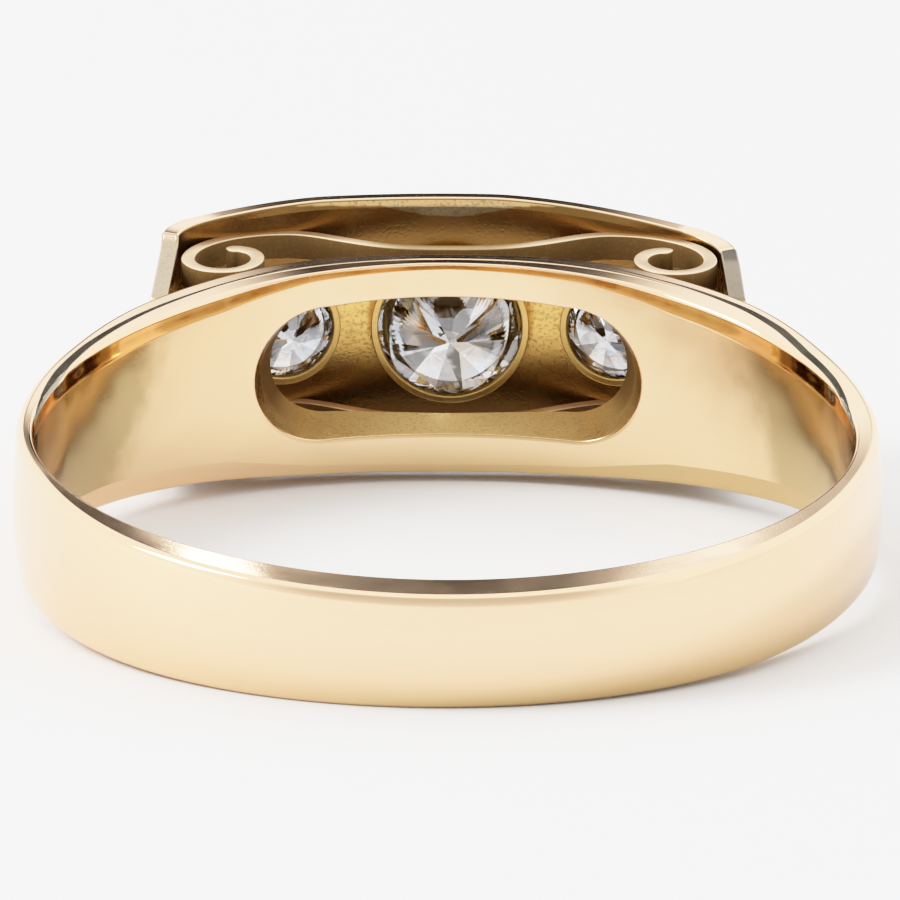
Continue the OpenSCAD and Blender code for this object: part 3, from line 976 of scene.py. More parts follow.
# Points along the wave, the curl's three quarters, and round the tip
WAVE_STEPS, OVER_STEPS, UNDER_STEPS, TIP_STEPS = 36, 22, 44, 20
TIP_TURNS = np.linspace(0, 80, 7)


def quarter(n, cx, cy, rx, ry, start, end):
    """n points on a part of an oval."""
    turns = np.linspace(start, end, n, endpoint=False)
    return [(cx + rx * math.cos(b), cy + ry * math.sin(b)) for b in turns]


def strip_line():
    """Half of the strip's middle line and its half thickness, from the middle to the tip."""
    wave = [
        (x, CREST_Y - STRIP_DIP * math.cos(math.pi / 2 * (x / CREST_X) ** DIP_POWER) ** 2)
        for x in np.linspace(0, CREST_X, WAVE_STEPS, endpoint=False)
    ]
    up, across = math.pi / 2, math.pi
    over = quarter(OVER_STEPS, CREST_X, CURL_Y, OUT_X - CREST_X, CREST_Y - CURL_Y, up, 0)
    under = quarter(UNDER_STEPS, CURL_C, CURL_Y, CURL_W / 2, CURL_DROP, 0, -across)
    reach = TIP_X - CURL_C + CURL_W / 2
    to_tip = quarter(TIP_STEPS, TIP_X, CURL_Y, reach, CURL_DROP * TIP_UP, across, up)
    half = [STRIP_T / 2] * (len(wave) + len(over) + len(under))
    half += [STRIP_T / 2 + (TIP_T - STRIP_T) / 2 * i / TIP_STEPS for i in range(TIP_STEPS)]
    end_y = CURL_Y + CURL_DROP * TIP_UP
    tip = [(TIP_X + TIP_T / 2 * math.sin(math.radians(b)), end_y) for b in TIP_TURNS]
    half += [TIP_T / 2 * math.cos(math.radians(b)) for b in TIP_TURNS]
    return np.array(wave + over + under + to_tip + tip), np.array(half)


print("points on half a strip:", len(strip_line()[0]))

# %% A tree that sweeps the strip


def store(tree, geometry, label, kind, value):
    """Writes a value on each point, under a name."""
    return add(tree, "GeometryNodeStoreNamedAttribute", {
        "Geometry": geometry, "Name": label, "Value": value,
    }, data_type=kind).outputs[0]


def read(tree, label, kind):
    return add(tree, "GeometryNodeInputNamedAttribute", {"Name": label}, data_type=kind).outputs[0]


def strip_tree():
    tree, start, end = new_tree("scroll_strip", [
        ("Thickness", "Float"), ("Depth", "Float"), ("Edge radius", "Float"),
    ])
    line = add(tree, "GeometryNodeMeshToCurve", {"Mesh": start.outputs["Geometry"]})
    level = add(tree, "GeometryNodeSetCurveNormal", {"Curve": line.outputs[0]}, mode="Z_UP")
    outwards = add(tree, "ShaderNodeVectorMath", {
        0: add(tree, "GeometryNodeInputTangent").outputs[0], 1: (0, 0, 1),
    }, operation="CROSS_PRODUCT")
    wire = add(tree, "GeometryNodeCurvePrimitiveQuadrilateral", {
        "Width": start.outputs["Thickness"], "Height": start.outputs["Depth"],
    })
    soft = add(tree, "GeometryNodeFilletCurve", {
        "Curve": wire.outputs[0], "Radius": start.outputs["Edge radius"], "Count": 3,
    }, mode="POLY")
    place = add(tree, "ShaderNodeSeparateXYZ", {
        0: add(tree, "GeometryNodeInputPosition").outputs[0],
    })
    marked = store(tree, level.outputs[0], "outwards", "FLOAT_VECTOR", outwards.outputs[0])
    sided = store(tree, soft.outputs[0], "across", "FLOAT", place.outputs["X"])
    swept = add(tree, "GeometryNodeCurveToMesh", {
        "Curve": marked, "Profile Curve": sided, "Fill Caps": True,
    })
    # The sweep has one thickness. Moving its points along `outwards` gives each place its own
    wanted = maths(tree, "MULTIPLY", read(tree, "half_thickness", "FLOAT"), 2.0)
    more = maths(tree, "SUBTRACT", maths(tree, "DIVIDE", wanted, start.outputs["Thickness"]), 1.0)
    move = add(tree, "ShaderNodeVectorMath", {
        0: read(tree, "outwards", "FLOAT_VECTOR"),
        "Scale": maths(tree, "MULTIPLY", read(tree, "across", "FLOAT"), more),
    }, operation="SCALE")
    shaped = add(tree, "GeometryNodeSetPosition", {
        "Geometry": swept.outputs[0], "Offset": move.outputs[0],
    })
    finish_tree(tree, start, end, shaped.outputs[0])
    return tree


scroll_tree = strip_tree()

# %% Make both strips
STRIP_EDGE = 0.04


def make_strip(name, middle_z):
    half_line, half = strip_line()
    line = np.concatenate([half_line[:0:-1] * (-1, 1), half_line])
    thickness = np.concatenate([half[:0:-1], half])
    points = [(x, y, middle_z) for x, y in line]
    edges = [(i, i + 1) for i in range(len(points) - 1)]
    return run_tree(scroll_tree, name, points, edges, layers={"half_thickness": thickness}, **{
        "Thickness": STRIP_T, "Depth": STRIP_W, "Edge radius": STRIP_EDGE,
        "Material": finish["wire_gold"],
    })


strips = [
    make_strip("upper_scroll", STRIP_Z - STRIP_W / 2),
    make_strip("lower_scroll", STRIP_W / 2 - STRIP_Z),
]

# %% [markdown]
# ## The collets
# Each stone sits in a short tube, turned on a lathe and soldered through the plate. Inside it
# narrows to a ledge that carries the stone, and its rim is pressed over the stone's edge. The tree
# turns the drawn profile and sets it on the arch, so one tree serves all three.

# %% The collet's section
COLLET_WALL, SEAT_LEDGE, RIM_H = 0.17, 0.07, 0.12
STONE_LIP, BRIGHT_FLARE, STONE_GAP = 0.06, 0.3, 0.03
# A brilliant's table, crown, depth, half girdle, star and lower kites, in shares of its diameter
TABLE, CROWN, PAVILION, GIRDLE, STAR, LOWER = 0.56, 0.15, 0.43, 0.03, 0.38, 0.12
COLLETS = {
    # name: diameter of the stone, angle on the arch, how far the tube stands out below
    "center": (CENTRE_D, 0.0, 0.46),
    "left": (SIDE_D, -SIDE_ANGLE, 0.22),
    "right": (SIDE_D, SIDE_ANGLE, 0.22),
}
# The roundings of the section's corners, from its foot on the outside, and round to there again
COLLET_ROUND = (0.03, 0.02, 0.02, 0.05, 0.05, 0.03, 0.02, 0.01, 0.01, 0.02, 0.03)


def girdle_height(d):
    return RIM_H - (CROWN + GIRDLE / 2) * d


def collet_profile(d, below):
    """The turned section as a closed loop of (radius, height), starting at the bottom, outside."""
    outer, inner = d / 2 - SEAT_LEDGE + COLLET_WALL, d / 2 - SEAT_LEDGE
    seat, lip, girdle = d / 2 + STONE_GAP, d / 2 - STONE_LIP, GIRDLE * d / 2
    edge = girdle_height(d) - girdle - STONE_GAP
    seat_z = edge - (seat - inner) * 2 * PAVILION
    lip_z = girdle_height(d) + girdle + STONE_GAP
    lip_end = lip_z + (seat - lip) * 2 * CROWN / (1 - TABLE)
    mouth = lip + BRIGHT_FLARE * (RIM_H - lip_end)
    low = -PLATE_T - below
    loop = [
        (outer, low), (outer, -PLATE_T / 2), (d / 2 + COLLET_WALL, -PLATE_T / 2),
        (d / 2 + 2 * COLLET_WALL, RIM_H / 2), (d / 2 + COLLET_WALL, RIM_H), (mouth, RIM_H),
        (lip, lip_end), (seat, lip_z), (seat, edge), (inner, seat_z), (inner, low),
    ]
    return rounded([loop[-1], *loop, loop[0]], COLLET_ROUND)


print("points of the centre collet's section:", len(collet_profile(CENTRE_D, 0.46)))

# %% A tree that turns a collet
ARCH_INPUTS = (("Arch angle", "Float"), ("Arch radius", "Float"), ("Arch height", "Float"))


def stand_on_arch(tree, start, geometry):
    """Stands what was made round Z on top of the arch, and leans it to its place along it."""
    stood = add(tree, "GeometryNodeTransform", {
        "Geometry": geometry, "Translation": along_axes(tree, y=start.outputs["Arch radius"]),
        "Rotation": (-math.pi / 2, 0, 0),
    })
    lean = maths(tree, "MULTIPLY", start.outputs["Arch angle"], -1.0)
    return add(tree, "GeometryNodeTransform", {
        "Geometry": stood.outputs[0], "Rotation": along_axes(tree, z=lean),
        "Translation": along_axes(tree, y=start.outputs["Arch height"]),
    }).outputs[0]


def collet_tree():
    tree, start, end = new_tree("turned_collet", [
        ("Segments", "Int"), ("Path radius", "Float"), *ARCH_INPUTS,
    ])
    profile = add(tree, "GeometryNodeMeshToCurve", {"Mesh": start.outputs["Geometry"]})
    lathe = add(tree, "GeometryNodeCurvePrimitiveCircle", {
        "Resolution": start.outputs["Segments"], "Radius": start.outputs["Path radius"],
    })
    turned = add(tree, "GeometryNodeCurveToMesh", {
        "Curve": lathe.outputs[0], "Profile Curve": profile.outputs[0],
    })
    finish_tree(tree, start, end, stand_on_arch(tree, start, turned.outputs[0]))
    return tree


turning_tree = collet_tree()

# %% Turn the collets
TURN_STEPS = 144


def make_collet(name, d, angle, below):
    profile = collet_profile(d, below)
    path_r = d / 2
    # The sweep turns the profile's second axis downwards, so heights go in with their sign changed
    points = [(r - path_r, -z, 0) for r, z in profile]
    n = len(points)
    return run_tree(turning_tree, name, points, [(i, (i + 1) % n) for i in range(n)], **{
        "Segments": TURN_STEPS, "Path radius": path_r, "Arch angle": angle, "Arch radius": ARCH_R,
        "Arch height": ARCH_Y, "Material": finish["turned_gold"],
    })


collets = [make_collet(name + "_collet", *sizes) for name, sizes in COLLETS.items()]

# %% [markdown]
# ## The brilliants
# A round brilliant has eight kites round its table, eight stars between them, sixteen halves on
# each side of the girdle and eight long kites down to its point. All of it is one eighth, repeated.
# The flat facets must stay flat and sharp: they bend the light that makes the star seen from
# behind.

# %% One eighth of a brilliant
EIGHTH = math.pi / 4
GIRDLE_PARTS = 4


def round_axis(radius, angle, z):
    return (radius * math.cos(angle), radius * math.sin(angle), z)


def eighth_of_brilliant(d):
    """Points and faces of the eighth that is centred on one kite, girdle at height 0."""
    r, girdle = d / 2, GIRDLE * d / 2
    top, depth = girdle + CROWN * d, girdle + PAVILION * d
    table, star, lower = TABLE * r, STAR * d, LOWER * d
    fold = EIGHTH / 2
    star_z = top - (star * math.cos(fold) - table) * (top - girdle) / (r - table)
    lower_z = -depth + lower * math.cos(fold) * (depth - girdle) / r
    points = [round_axis(0, 0, top), round_axis(table, 0, top), round_axis(0, 0, -depth)]
    faces = []
    for side in (1, -1):
        mid, apex, foot = range(len(points), len(points) + 3)
        points.append(round_axis(table * math.cos(fold), side * fold, top))
        points.append(round_axis(star, side * fold, star_z))
        points.append(round_axis(lower, side * fold, lower_z))
        rim = [i / GIRDLE_PARTS * fold * side for i in range(GIRDLE_PARTS + 1)]
        high, low = (
            [len(points) + k * len(rim) + i for i in range(len(rim))] for k in (0, 1)
        )
        points += [round_axis(r, a, z) for z in (girdle, -girdle) for a in rim]
        faces += [(0, 1, mid), (1, mid, apex), (1, apex, high[0]), (2, foot, low[0])]
        faces += [(apex, high[i], high[i + 1]) for i in range(GIRDLE_PARTS)]
        faces += [(foot, low[i], low[i + 1]) for i in range(GIRDLE_PARTS)]
        faces += [(high[i], high[i + 1], low[i + 1], low[i]) for i in range(GIRDLE_PARTS)]
    return points, faces


print("facets of one eighth:", len(eighth_of_brilliant(CENTRE_D)[1]))

# %% A tree that repeats the eighth


def brilliant_tree():
    tree, start, end = new_tree("brilliant_cut", [
        ("Repeats", "Int"), ("Turn", "Float"), ("Girdle height", "Float"), *ARCH_INPUTS,
    ])
    spots = add(tree, "GeometryNodeMeshLine", {
        "Count": start.outputs["Repeats"], "Offset": (0, 0, 0),
    })
    step = maths(tree, "DIVIDE", 2 * math.pi, start.outputs["Repeats"])
    nth = maths(tree, "MULTIPLY", add(tree, "GeometryNodeInputIndex").outputs[0], step)
    turned = maths(tree, "ADD", nth, start.outputs["Turn"])
    copies = add(tree, "GeometryNodeInstanceOnPoints", {
        "Points": spots.outputs[0], "Instance": start.outputs["Geometry"],
        "Rotation": along_axes(tree, z=turned),
    })
    seated = add(tree, "GeometryNodeTransform", {
        "Geometry": copies.outputs[0],
        "Translation": along_axes(tree, z=start.outputs["Girdle height"]),
    })
    finish_tree(tree, start, end, stand_on_arch(tree, start, seated.outputs[0]))
    return tree


cutting_tree = brilliant_tree()

# %% [markdown]
# Seen from behind, each facet of a brilliant shows another part of the room, bright or dark. Which
# one depends on how the stone happens to be turned. Each facet gets a painted reflection, a tone
# of its own by its direction, chosen for the centre stone's star.

# %% The facets' painted reflections
# How far each stone is turned in its collet, in degrees
STONE_TURNS = {"center": 35, "left": 15, "right": 41}
# Painted reflection tone of the eight back kites, from 12 o'clock round to the right, as seen from
# behind
KITE_REFLECTIONS = {
    "center": (0.3, 0.35, 0.8, 0.1, 1.0, 0.7, 0.8, 0.12),
    "left": (0.35, 0.5, 0.5, 0.8, 1.0, 1.0, 0.9, 0.6),
    "right": (0.8, 0.6, 0.5, 0.75, 0.85, 0.9, 0.65, 0.6),
}
# Painted reflection tone of the sixteen halves beside them, and how far out these start, in shares
# of the radius
HALF_REFLECTIONS = (
    1.0, 0.5, 0.9, 0.35, 1.0, 0.7, 0.45, 0.95, 0.3, 0.85, 0.6, 1.0, 0.4, 0.9, 0.55, 0.8,
)
KITES_END = 0.6


def paint_facet_reflections(piece, name, d, angle):
    """Paints a reflection tone on each facet of a stone, by its direction round the stone's axis.
    """
    data = piece.data
    upright_stone = (
        Matrix.Rotation(angle, 4, "Z") @ Matrix.Translation((0, -ARCH_Y, 0)) @ REST.inverted()
    )
    first_kite = (90 + STONE_TURNS[name]) % 45
    values = []
    for face in data.polygons:
        x, y, z = upright_stone @ face.center
        turn = math.degrees(math.atan2(x, z)) - first_kite
        kite, half = round(turn / 45) % 8, int(turn / 22.5 + 16) % 16
        behind = y - ARCH_R < girdle_height(d)
        if behind and math.hypot(x, z) / (d / 2) < KITES_END:
            values.append(KITE_REFLECTIONS[name][kite])
        elif behind:
            values.append(HALF_REFLECTIONS[half])
        else:
            values.append(0.5 + 0.5 * HALF_REFLECTIONS[(half * 3) % 16])
    data.attributes.new("facet_reflection", "FLOAT", "FACE").data.foreach_set("value", values)
    print(piece.name, "facets' mean tone", round(float(np.mean(values)), 2))


print("tones for the kites of", ", ".join(KITE_REFLECTIONS), "stones")

# %% Cut the brilliants


def make_stone(name, d, angle):
    points, faces = eighth_of_brilliant(d)
    piece = run_tree(cutting_tree, name + "_brilliant", points, [], faces, **{
        "Repeats": 8, "Turn": math.radians(STONE_TURNS[name]), "Girdle height": girdle_height(d),
        "Arch angle": angle, "Arch radius": ARCH_R, "Arch height": ARCH_Y,
        "Material": finish["cut_stone"],
    }, smooth=False)
    paint_facet_reflections(piece, name, d, angle)
    return piece


stones = {name: make_stone(name, d, angle) for name, (d, angle, _) in COLLETS.items()}

# %% [markdown]
# ## Shared effects of the bench, and painted shade
# Gold shows how it was worked. Three effects are shared by all its finishes, so each is a node
# group, placed in every material with its own values: where a point lies in the upright ring, the
# fine lines and soft waves of filing and polishing, and the gallery under the plate, which gets
# painted shade and a rougher finish.

# %% Node group helpers


def new_group(name, inputs, outputs):
    """An empty shader node group. Inputs are (name, kind, value), outputs are (name, kind)."""
    tree = bpy.data.node_groups.new(name, "ShaderNodeTree")
    for label, kind, value in inputs:
        socket = tree.interface.new_socket(label, in_out="INPUT", socket_type="NodeSocket" + kind)
        socket.default_value = value
    for label, kind in outputs:
        tree.interface.new_socket(label, in_out="OUTPUT", socket_type="NodeSocket" + kind)
    return tree, tree.nodes.new("NodeGroupInput"), tree.nodes.new("NodeGroupOutput")


def put_out(tree, end, **values):
    """Links values to a group's outputs, by name."""
    for label, value in values.items():
        tree.links.new(value, end.inputs[label.replace("_", " ")])
    print("group", tree.name, "puts out:", ", ".join(item.name for item in end.inputs if item.name))
    return tree


def between(tree, value, low, high):
    """0 below low, 1 above high, softly in between."""
    node = add(tree, "ShaderNodeMapRange", {
        "Value": value, "From Min": low, "From Max": high,
    }, interpolation_type="SMOOTHSTEP")
    return node.outputs["Result"]


def blend(tree, share, first, second):
    """Mixes two colours. Each may be a socket or a colour."""
    return add(tree, "ShaderNodeMix", {0: share, 6: first, 7: second}, data_type="RGBA").outputs[2]


def length(tree, **axes):
    vector = along_axes(tree, **axes)
    return add(tree, "ShaderNodeVectorMath", {0: vector}, operation="LENGTH").outputs["Value"]


def noise(tree, place, scale, detail, **more):
    node = add(tree, "ShaderNodeTexNoise", {
        "Vector": place, "Scale": scale, "Detail": detail, **more,
    })
    return node.outputs[0]


print("node groups so far:", ", ".join(group.name for group in bpy.data.node_groups))

# %% Where a point lies in the upright ring
# The way in which the finger's axis points, once the ring lies down
FINGER_WAY = (0, -math.sin(TILT), math.cos(TILT))


def upright_group():
    tree, start, end = new_group(
        "upright_ring", [("Object", "Vector", (0, 0, 0)), ("Normal", "Vector", (0, 0, 0))],
        [("Place", "Vector"), ("Unrolled", "Vector"), ("Level", "Float")],
    )
    stand = add(tree, "ShaderNodeMapping", {
        "Vector": start.outputs["Object"], "Location": (0, SHIFT * MM, LIFT * MM),
        "Rotation": (TILT, 0, 0), "Scale": (MM, MM, MM),
    }, vector_type="TEXTURE")
    part = add(tree, "ShaderNodeSeparateXYZ", {0: stand.outputs[0]})
    x, y, z = (part.outputs[k] for k in "XYZ")
    around = maths(tree, "MULTIPLY", maths(tree, "ARCTAN2", x, y), FINGER_R)
    unrolled = along_axes(tree, x=around, y=length(tree, x=x, y=y), z=z)
    # 1 where a face looks along the finger, 0 where it stands square to that
    level = add(tree, "ShaderNodeVectorMath", {
        0: start.outputs["Normal"], 1: FINGER_WAY,
    }, operation="DOT_PRODUCT")
    return put_out(
        tree, end, Place=stand.outputs[0], Unrolled=unrolled,
        Level=maths(tree, "ABSOLUTE", level.outputs["Value"]),
    )


upright = upright_group()

# %% The marks of the bench
# Where the noises' softest and strongest places begin, for each effect
FINE_LINES, RARE_LINES = (0.35, 0.75), (0.3, 0.7)
SMUDGES, PITS = (0.3, 0.75), (0.48, 0.68)
SMUDGES_PER_MM, PITS_PER_MM, RARE_SHARE = 0.9, 14.0, 0.45


def bench_marks_group():
    """Fine lines one way, soft waves and pits, as a height in mm and as masks."""
    tree, start, end = new_group("bench_marks", [
        ("Place", "Vector", (0, 0, 0)), ("Lines per mm", "Vector", (0.5, 25, 25)),
        ("Line depth", "Float", 0.0002), ("Waves per mm", "Float", 0.5),
        ("Wave depth", "Float", 0.004), ("Pit depth", "Float", 0.0),
    ], [("Height", "Float"), ("Lines", "Float"), ("Smudges", "Float"), ("Pits", "Float")])
    place = start.outputs["Place"]
    drawn = add(tree, "ShaderNodeVectorMath", {
        0: place, 1: start.outputs["Lines per mm"],
    }, operation="MULTIPLY").outputs[0]
    fine = noise(tree, drawn, 1.0, 2.0, Roughness=0.6)
    rare = noise(tree, drawn, RARE_SHARE, 1.0)
    lines = maths(
        tree, "MULTIPLY", between(tree, fine, *FINE_LINES), between(tree, rare, *RARE_LINES),
    )
    waves = noise(tree, place, start.outputs["Waves per mm"], 1.0)
    smudges = between(tree, noise(tree, place, SMUDGES_PER_MM, 2.0), *SMUDGES)
    pits = between(tree, noise(tree, place, PITS_PER_MM, 2.0), *PITS)
    height = maths(tree, "MULTIPLY", fine, start.outputs["Line depth"])
    for sign, mark, depth in (("ADD", waves, "Wave depth"), ("SUBTRACT", pits, "Pit depth")):
        height = maths(tree, sign, height, maths(tree, "MULTIPLY", mark, start.outputs[depth]))
    return put_out(tree, end, Height=height, Lines=lines, Smudges=smudges, Pits=pits)


bench_marks = bench_marks_group()

# %% The gallery under the plate: painted shade, and a rougher finish where the buff doesn't reach
# The gallery's soft limits in mm: sideways, below the plate, above the axis and off the band
GALLERY = {
    "side": (6.45, 6.3), "top": (15.75, 15.6), "foot": (8.2, 8.5),
    "band": (FINGER_R + 0.25, FINGER_R + 0.6),
}
# Faces that look along the finger get no painted shade and stay smooth. This is where they begin
# and end
STEEP = (0.9, 0.4)
# What stands out of the plate's top, by its distance from the arch's middle
PLATE_TOP = (ARCH_R - 0.2, ARCH_R - 0.05)


def gallery_shade_and_rough_group():
    """How far a point lies in the gallery, where shade is painted and the buff can't go."""
    tree, start, end = new_group("gallery_shade_and_rough", [
        ("Place", "Vector", (0, 0, 0)), ("Level", "Float", 0.0), ("Darkness", "Float", 1.0),
    ], [("Tarnish", "Float"), ("Height", "Float"), ("Below", "Float"), ("On top", "Float")])
    part = add(tree, "ShaderNodeSeparateXYZ", {0: start.outputs["Place"]})
    x, y, z = (part.outputs[k] for k in "XYZ")
    from_arch = length(tree, x=x, y=maths(tree, "SUBTRACT", y, ARCH_Y))
    # Painted shade, and a rougher finish, fill the gallery within these soft limits
    gallery_shade = between(tree, maths(tree, "ABSOLUTE", x), *GALLERY["side"])
    for value, limits in (
        (from_arch, GALLERY["top"]), (y, GALLERY["foot"]), (start.outputs["Level"], STEEP),
        (length(tree, x=x, y=y), GALLERY["band"]),
    ):
        gallery_shade = maths(tree, "MULTIPLY", gallery_shade, between(tree, value, *limits))
    return put_out(
        tree, end, Tarnish=maths(tree, "MULTIPLY", gallery_shade, start.outputs["Darkness"]),
        Height=maths(tree, "ABSOLUTE", z), Below=maths(tree, "MULTIPLY", z, -1.0),
        On_top=between(tree, from_arch, *PLATE_TOP),
    )


gallery_shade_and_rough = gallery_shade_and_rough_group()

# %% Placing the groups in a material


def set_inputs(tree, node, values):
    for label, value in values.items():
        feed(tree, node.inputs[label.replace("_", " ")], value)
    return node


def place_group(tree, group, **values):
    return set_inputs(tree, add(tree, "ShaderNodeGroup", node_tree=group), values)


def ring_place(tree):
    """Reads where a point of a piece lies in the upright ring."""
    where = tree.nodes.new("ShaderNodeTexCoord")
    return place_group(
        tree, upright, Object=where.outputs["Object"], Normal=where.outputs["Normal"],
    )


def set_shader(material, **values):
    """Sets constants on the material's shader and links what varies."""
    tree = material.node_tree
    set_inputs(tree, tree.nodes["Principled BSDF"], values)
    print("finished:", material.name)


def relief(tree, height):
    """A bump whose height is in millimetres."""
    bump = add(tree, "ShaderNodeBump", {"Height": height, "Distance": MM, "Strength": 1.0})
    return bump.outputs[0]


def darker(tone, share):
    return tuple(share * v for v in tone[:3]) + (1,)


print("materials to finish:", len(finish))

# %% [markdown]
# ## The finishes of the gold
# Outside, the ring is polished: it mirrors the room, softened by wear. The finger's side is rubbed
# to a satin that runs round the band. The window's wall is filed, the strips are drawn wire, and
# the collets are turned. Under the plate the gold is only brushed, and painted shade darkens it
# there, deepest behind the strips. One recipe makes all of them: a tone with darker lines, darker
# places laid over it one by one, most of them painted shade and reflection, and a bump for the
# marks of the tools.

# %% Tones of gold
GOLD = (1.0, 0.63, 0.355, 1)
SATIN_TONE = (1.0, 0.64, 0.34, 1)
FILED_TONE = (0.7, 0.45, 0.16, 1)
WIRE_TONE = (0.95, 0.68, 0.42, 1)
# Painted shade on the strip where it dips between the plate and the band
DIP_SHADE_TONE = (0.38, 0.24, 0.1, 1)
TURNED_TONE = (0.95, 0.6, 0.19, 1)
EDGE_TONE = (0.46, 0.35, 0.22, 1)
SHADE_TONE = (0.1, 0.08, 0.05, 1)
# Painted shade in the gallery under the plate
GALLERY_SHADE_TONE = (0.2, 0.11, 0.035, 1)
# Painted dark reflection on the crease's level facet
CREASE_REFLECTION_TONE = (0.36, 0.34, 0.25, 1)
# Painted shade and reflection low down on the gold
LOW_SHADE_TONE = (0.57, 0.38, 0.17, 1)
# Painted shade and reflection in the flanks of the finger's side
FLANK_SHADE_TONE = (0.5, 0.36, 0.16, 1)
# How much darker the lines and the pits are than the gold round them
LINE_SHADE, LINE_SHARE, PIT_SHADE = 0.75, 0.12, 0.4
# Low down the gold has painted shade and reflection, from not at all at the left to fully right of
# the middle
LOW_SHADE_SIDE, LOW_SHADE_SHARE = (-8, 1), 0.95
# Painted shade on the strip where it dips towards the band
DIP_SHADE_LIMITS = (2.4, 0.8)
# The plate's cut edge lies in shade at the right
SHADE_LIMITS = (5, 6)
# The gallery with its painted shade and a filed facet are rougher, and what stands out on top is
# smoother
GALLERY_ROUGH, FACET_ROUGH, TOP_ROUGH = 0.28, 0.06, -0.15
print("tone of the polished gold:", GOLD[:3])

# %% Painted shade in the flanks, and the crease's facet with its painted reflection
# Painted shade and reflection in the flanks: the border on the finger's side, in mm from the
# head's middle, its slant and raggedness
FLANK_BORDER, FLANK_SLANT = (8.6, 9.6), 0.5
FLANK_RAGS, RAGS_PER_MM = 2.0, 0.8
# The facet's edge in half widths, and how strongly it is toned with its painted dark reflection
FACET_EDGE, FACET_SHARE = (1.2, 0.8), 0.8


def flank_shade_mask(tree, ring, z):
    """Painted shade and reflection in the flanks of the finger's side, beyond a slanting, ragged
    border.
    """
    unrolled = ring.outputs["Unrolled"]
    around = add(tree, "ShaderNodeSeparateXYZ", {0: unrolled}).outputs["X"]
    away = maths(tree, "MULTIPLY_ADD", z, FLANK_SLANT, maths(tree, "ABSOLUTE", around))
    away = maths(tree, "MULTIPLY_ADD", noise(tree, unrolled, RAGS_PER_MM, 3.0), FLANK_RAGS, away)
    return between(tree, away, *FLANK_BORDER)


def crease_facet(tree, facing):
    """The crease is a narrow facet that a file cut level along the falling rim."""
    apart = add(tree, "ShaderNodeAttribute", attribute_name="crease").outputs["Fac"]
    facet = between(tree, maths(tree, "ABSOLUTE", apart), *FACET_EDGE)
    level = add(tree, "ShaderNodeVectorTransform", {
        0: FINGER_WAY,
    }, vector_type="NORMAL", convert_from="OBJECT", convert_to="WORLD")
    mixed = add(tree, "ShaderNodeMix", {
        0: facet, 4: facing, 5: level.outputs[0],
    }, data_type="VECTOR")
    return facet, mixed.outputs[1]


print("the flank's border begins", FLANK_BORDER[0], "mm from the head's middle")

# %% Gold


def make_gold(
    material, tone, rough, smudge_rough, unrolled=False, darkness=1.0, pit_shade=0.0, low=(9, 10),
    flanks=0.0, creased=False, dip=False, polished_top=False, right_shade=0.0, **marks,
):
    tree = material.node_tree
    ring = ring_place(tree)
    place = ring.outputs["Place"]
    work = place_group(
        tree, bench_marks, Place=ring.outputs["Unrolled"] if unrolled else place, **marks,
    )
    dull = place_group(
        tree, gallery_shade_and_rough, Place=place, Level=ring.outputs["Level"], Darkness=darkness,
    )
    part = add(tree, "ShaderNodeSeparateXYZ", {0: place})
    x, z = part.outputs["X"], part.outputs["Z"]
    facing = relief(tree, work.outputs["Height"])
    roughness = maths(tree, "MULTIPLY_ADD", work.outputs["Smudges"], smudge_rough, rough)
    roughness = maths(tree, "MULTIPLY_ADD", dull.outputs["Tarnish"], GALLERY_ROUGH, roughness)

    def laid_over(colour, mask, share, shade):
        return blend(tree, maths(tree, "MULTIPLY", mask, share), colour, shade)

    colour = laid_over(tone, work.outputs["Lines"], LINE_SHARE, darker(tone, LINE_SHADE))
    # Painted shade and reflection low down on the gold, more to the right
    below = maths(
        tree, "MULTIPLY", between(tree, dull.outputs["Below"], *low), between(tree, x, *LOW_SHADE_SIDE),
    )
    colour = laid_over(colour, below, LOW_SHADE_SHARE, LOW_SHADE_TONE)
    # Painted shade where the strip dips towards the band
    if dip:
        colour = blend(
            tree, between(tree, maths(tree, "ABSOLUTE", x), *DIP_SHADE_LIMITS), colour, DIP_SHADE_TONE,
        )
    # Painted shade and reflection in the flanks of the finger's side
    if flanks:
        colour = laid_over(colour, flank_shade_mask(tree, ring, z), flanks, FLANK_SHADE_TONE)
    # Painted shade in the gallery under the plate
    colour = blend(tree, dull.outputs["Tarnish"], colour, GALLERY_SHADE_TONE)
    colour = laid_over(colour, work.outputs["Pits"], pit_shade, darker(tone, PIT_SHADE))
    # The crease's facet: its normal turns level, and its tone paints its dark reflection
    if creased:
        facet, facing = crease_facet(tree, facing)
        colour = laid_over(colour, facet, FACET_SHARE, CREASE_REFLECTION_TONE)
        roughness = maths(tree, "MULTIPLY_ADD", facet, FACET_ROUGH, roughness)
    if right_shade:
        colour = laid_over(colour, between(tree, x, *SHADE_LIMITS), right_shade, SHADE_TONE)
    if polished_top:
        colour = blend(tree, dull.outputs["On top"], colour, GOLD)
        roughness = maths(tree, "MULTIPLY_ADD", dull.outputs["On top"], TOP_ROUGH, roughness)
    set_shader(material, Base_Color=colour, Metallic=1.0, Roughness=roughness, Normal=facing)
    return tree, ring, work, dull


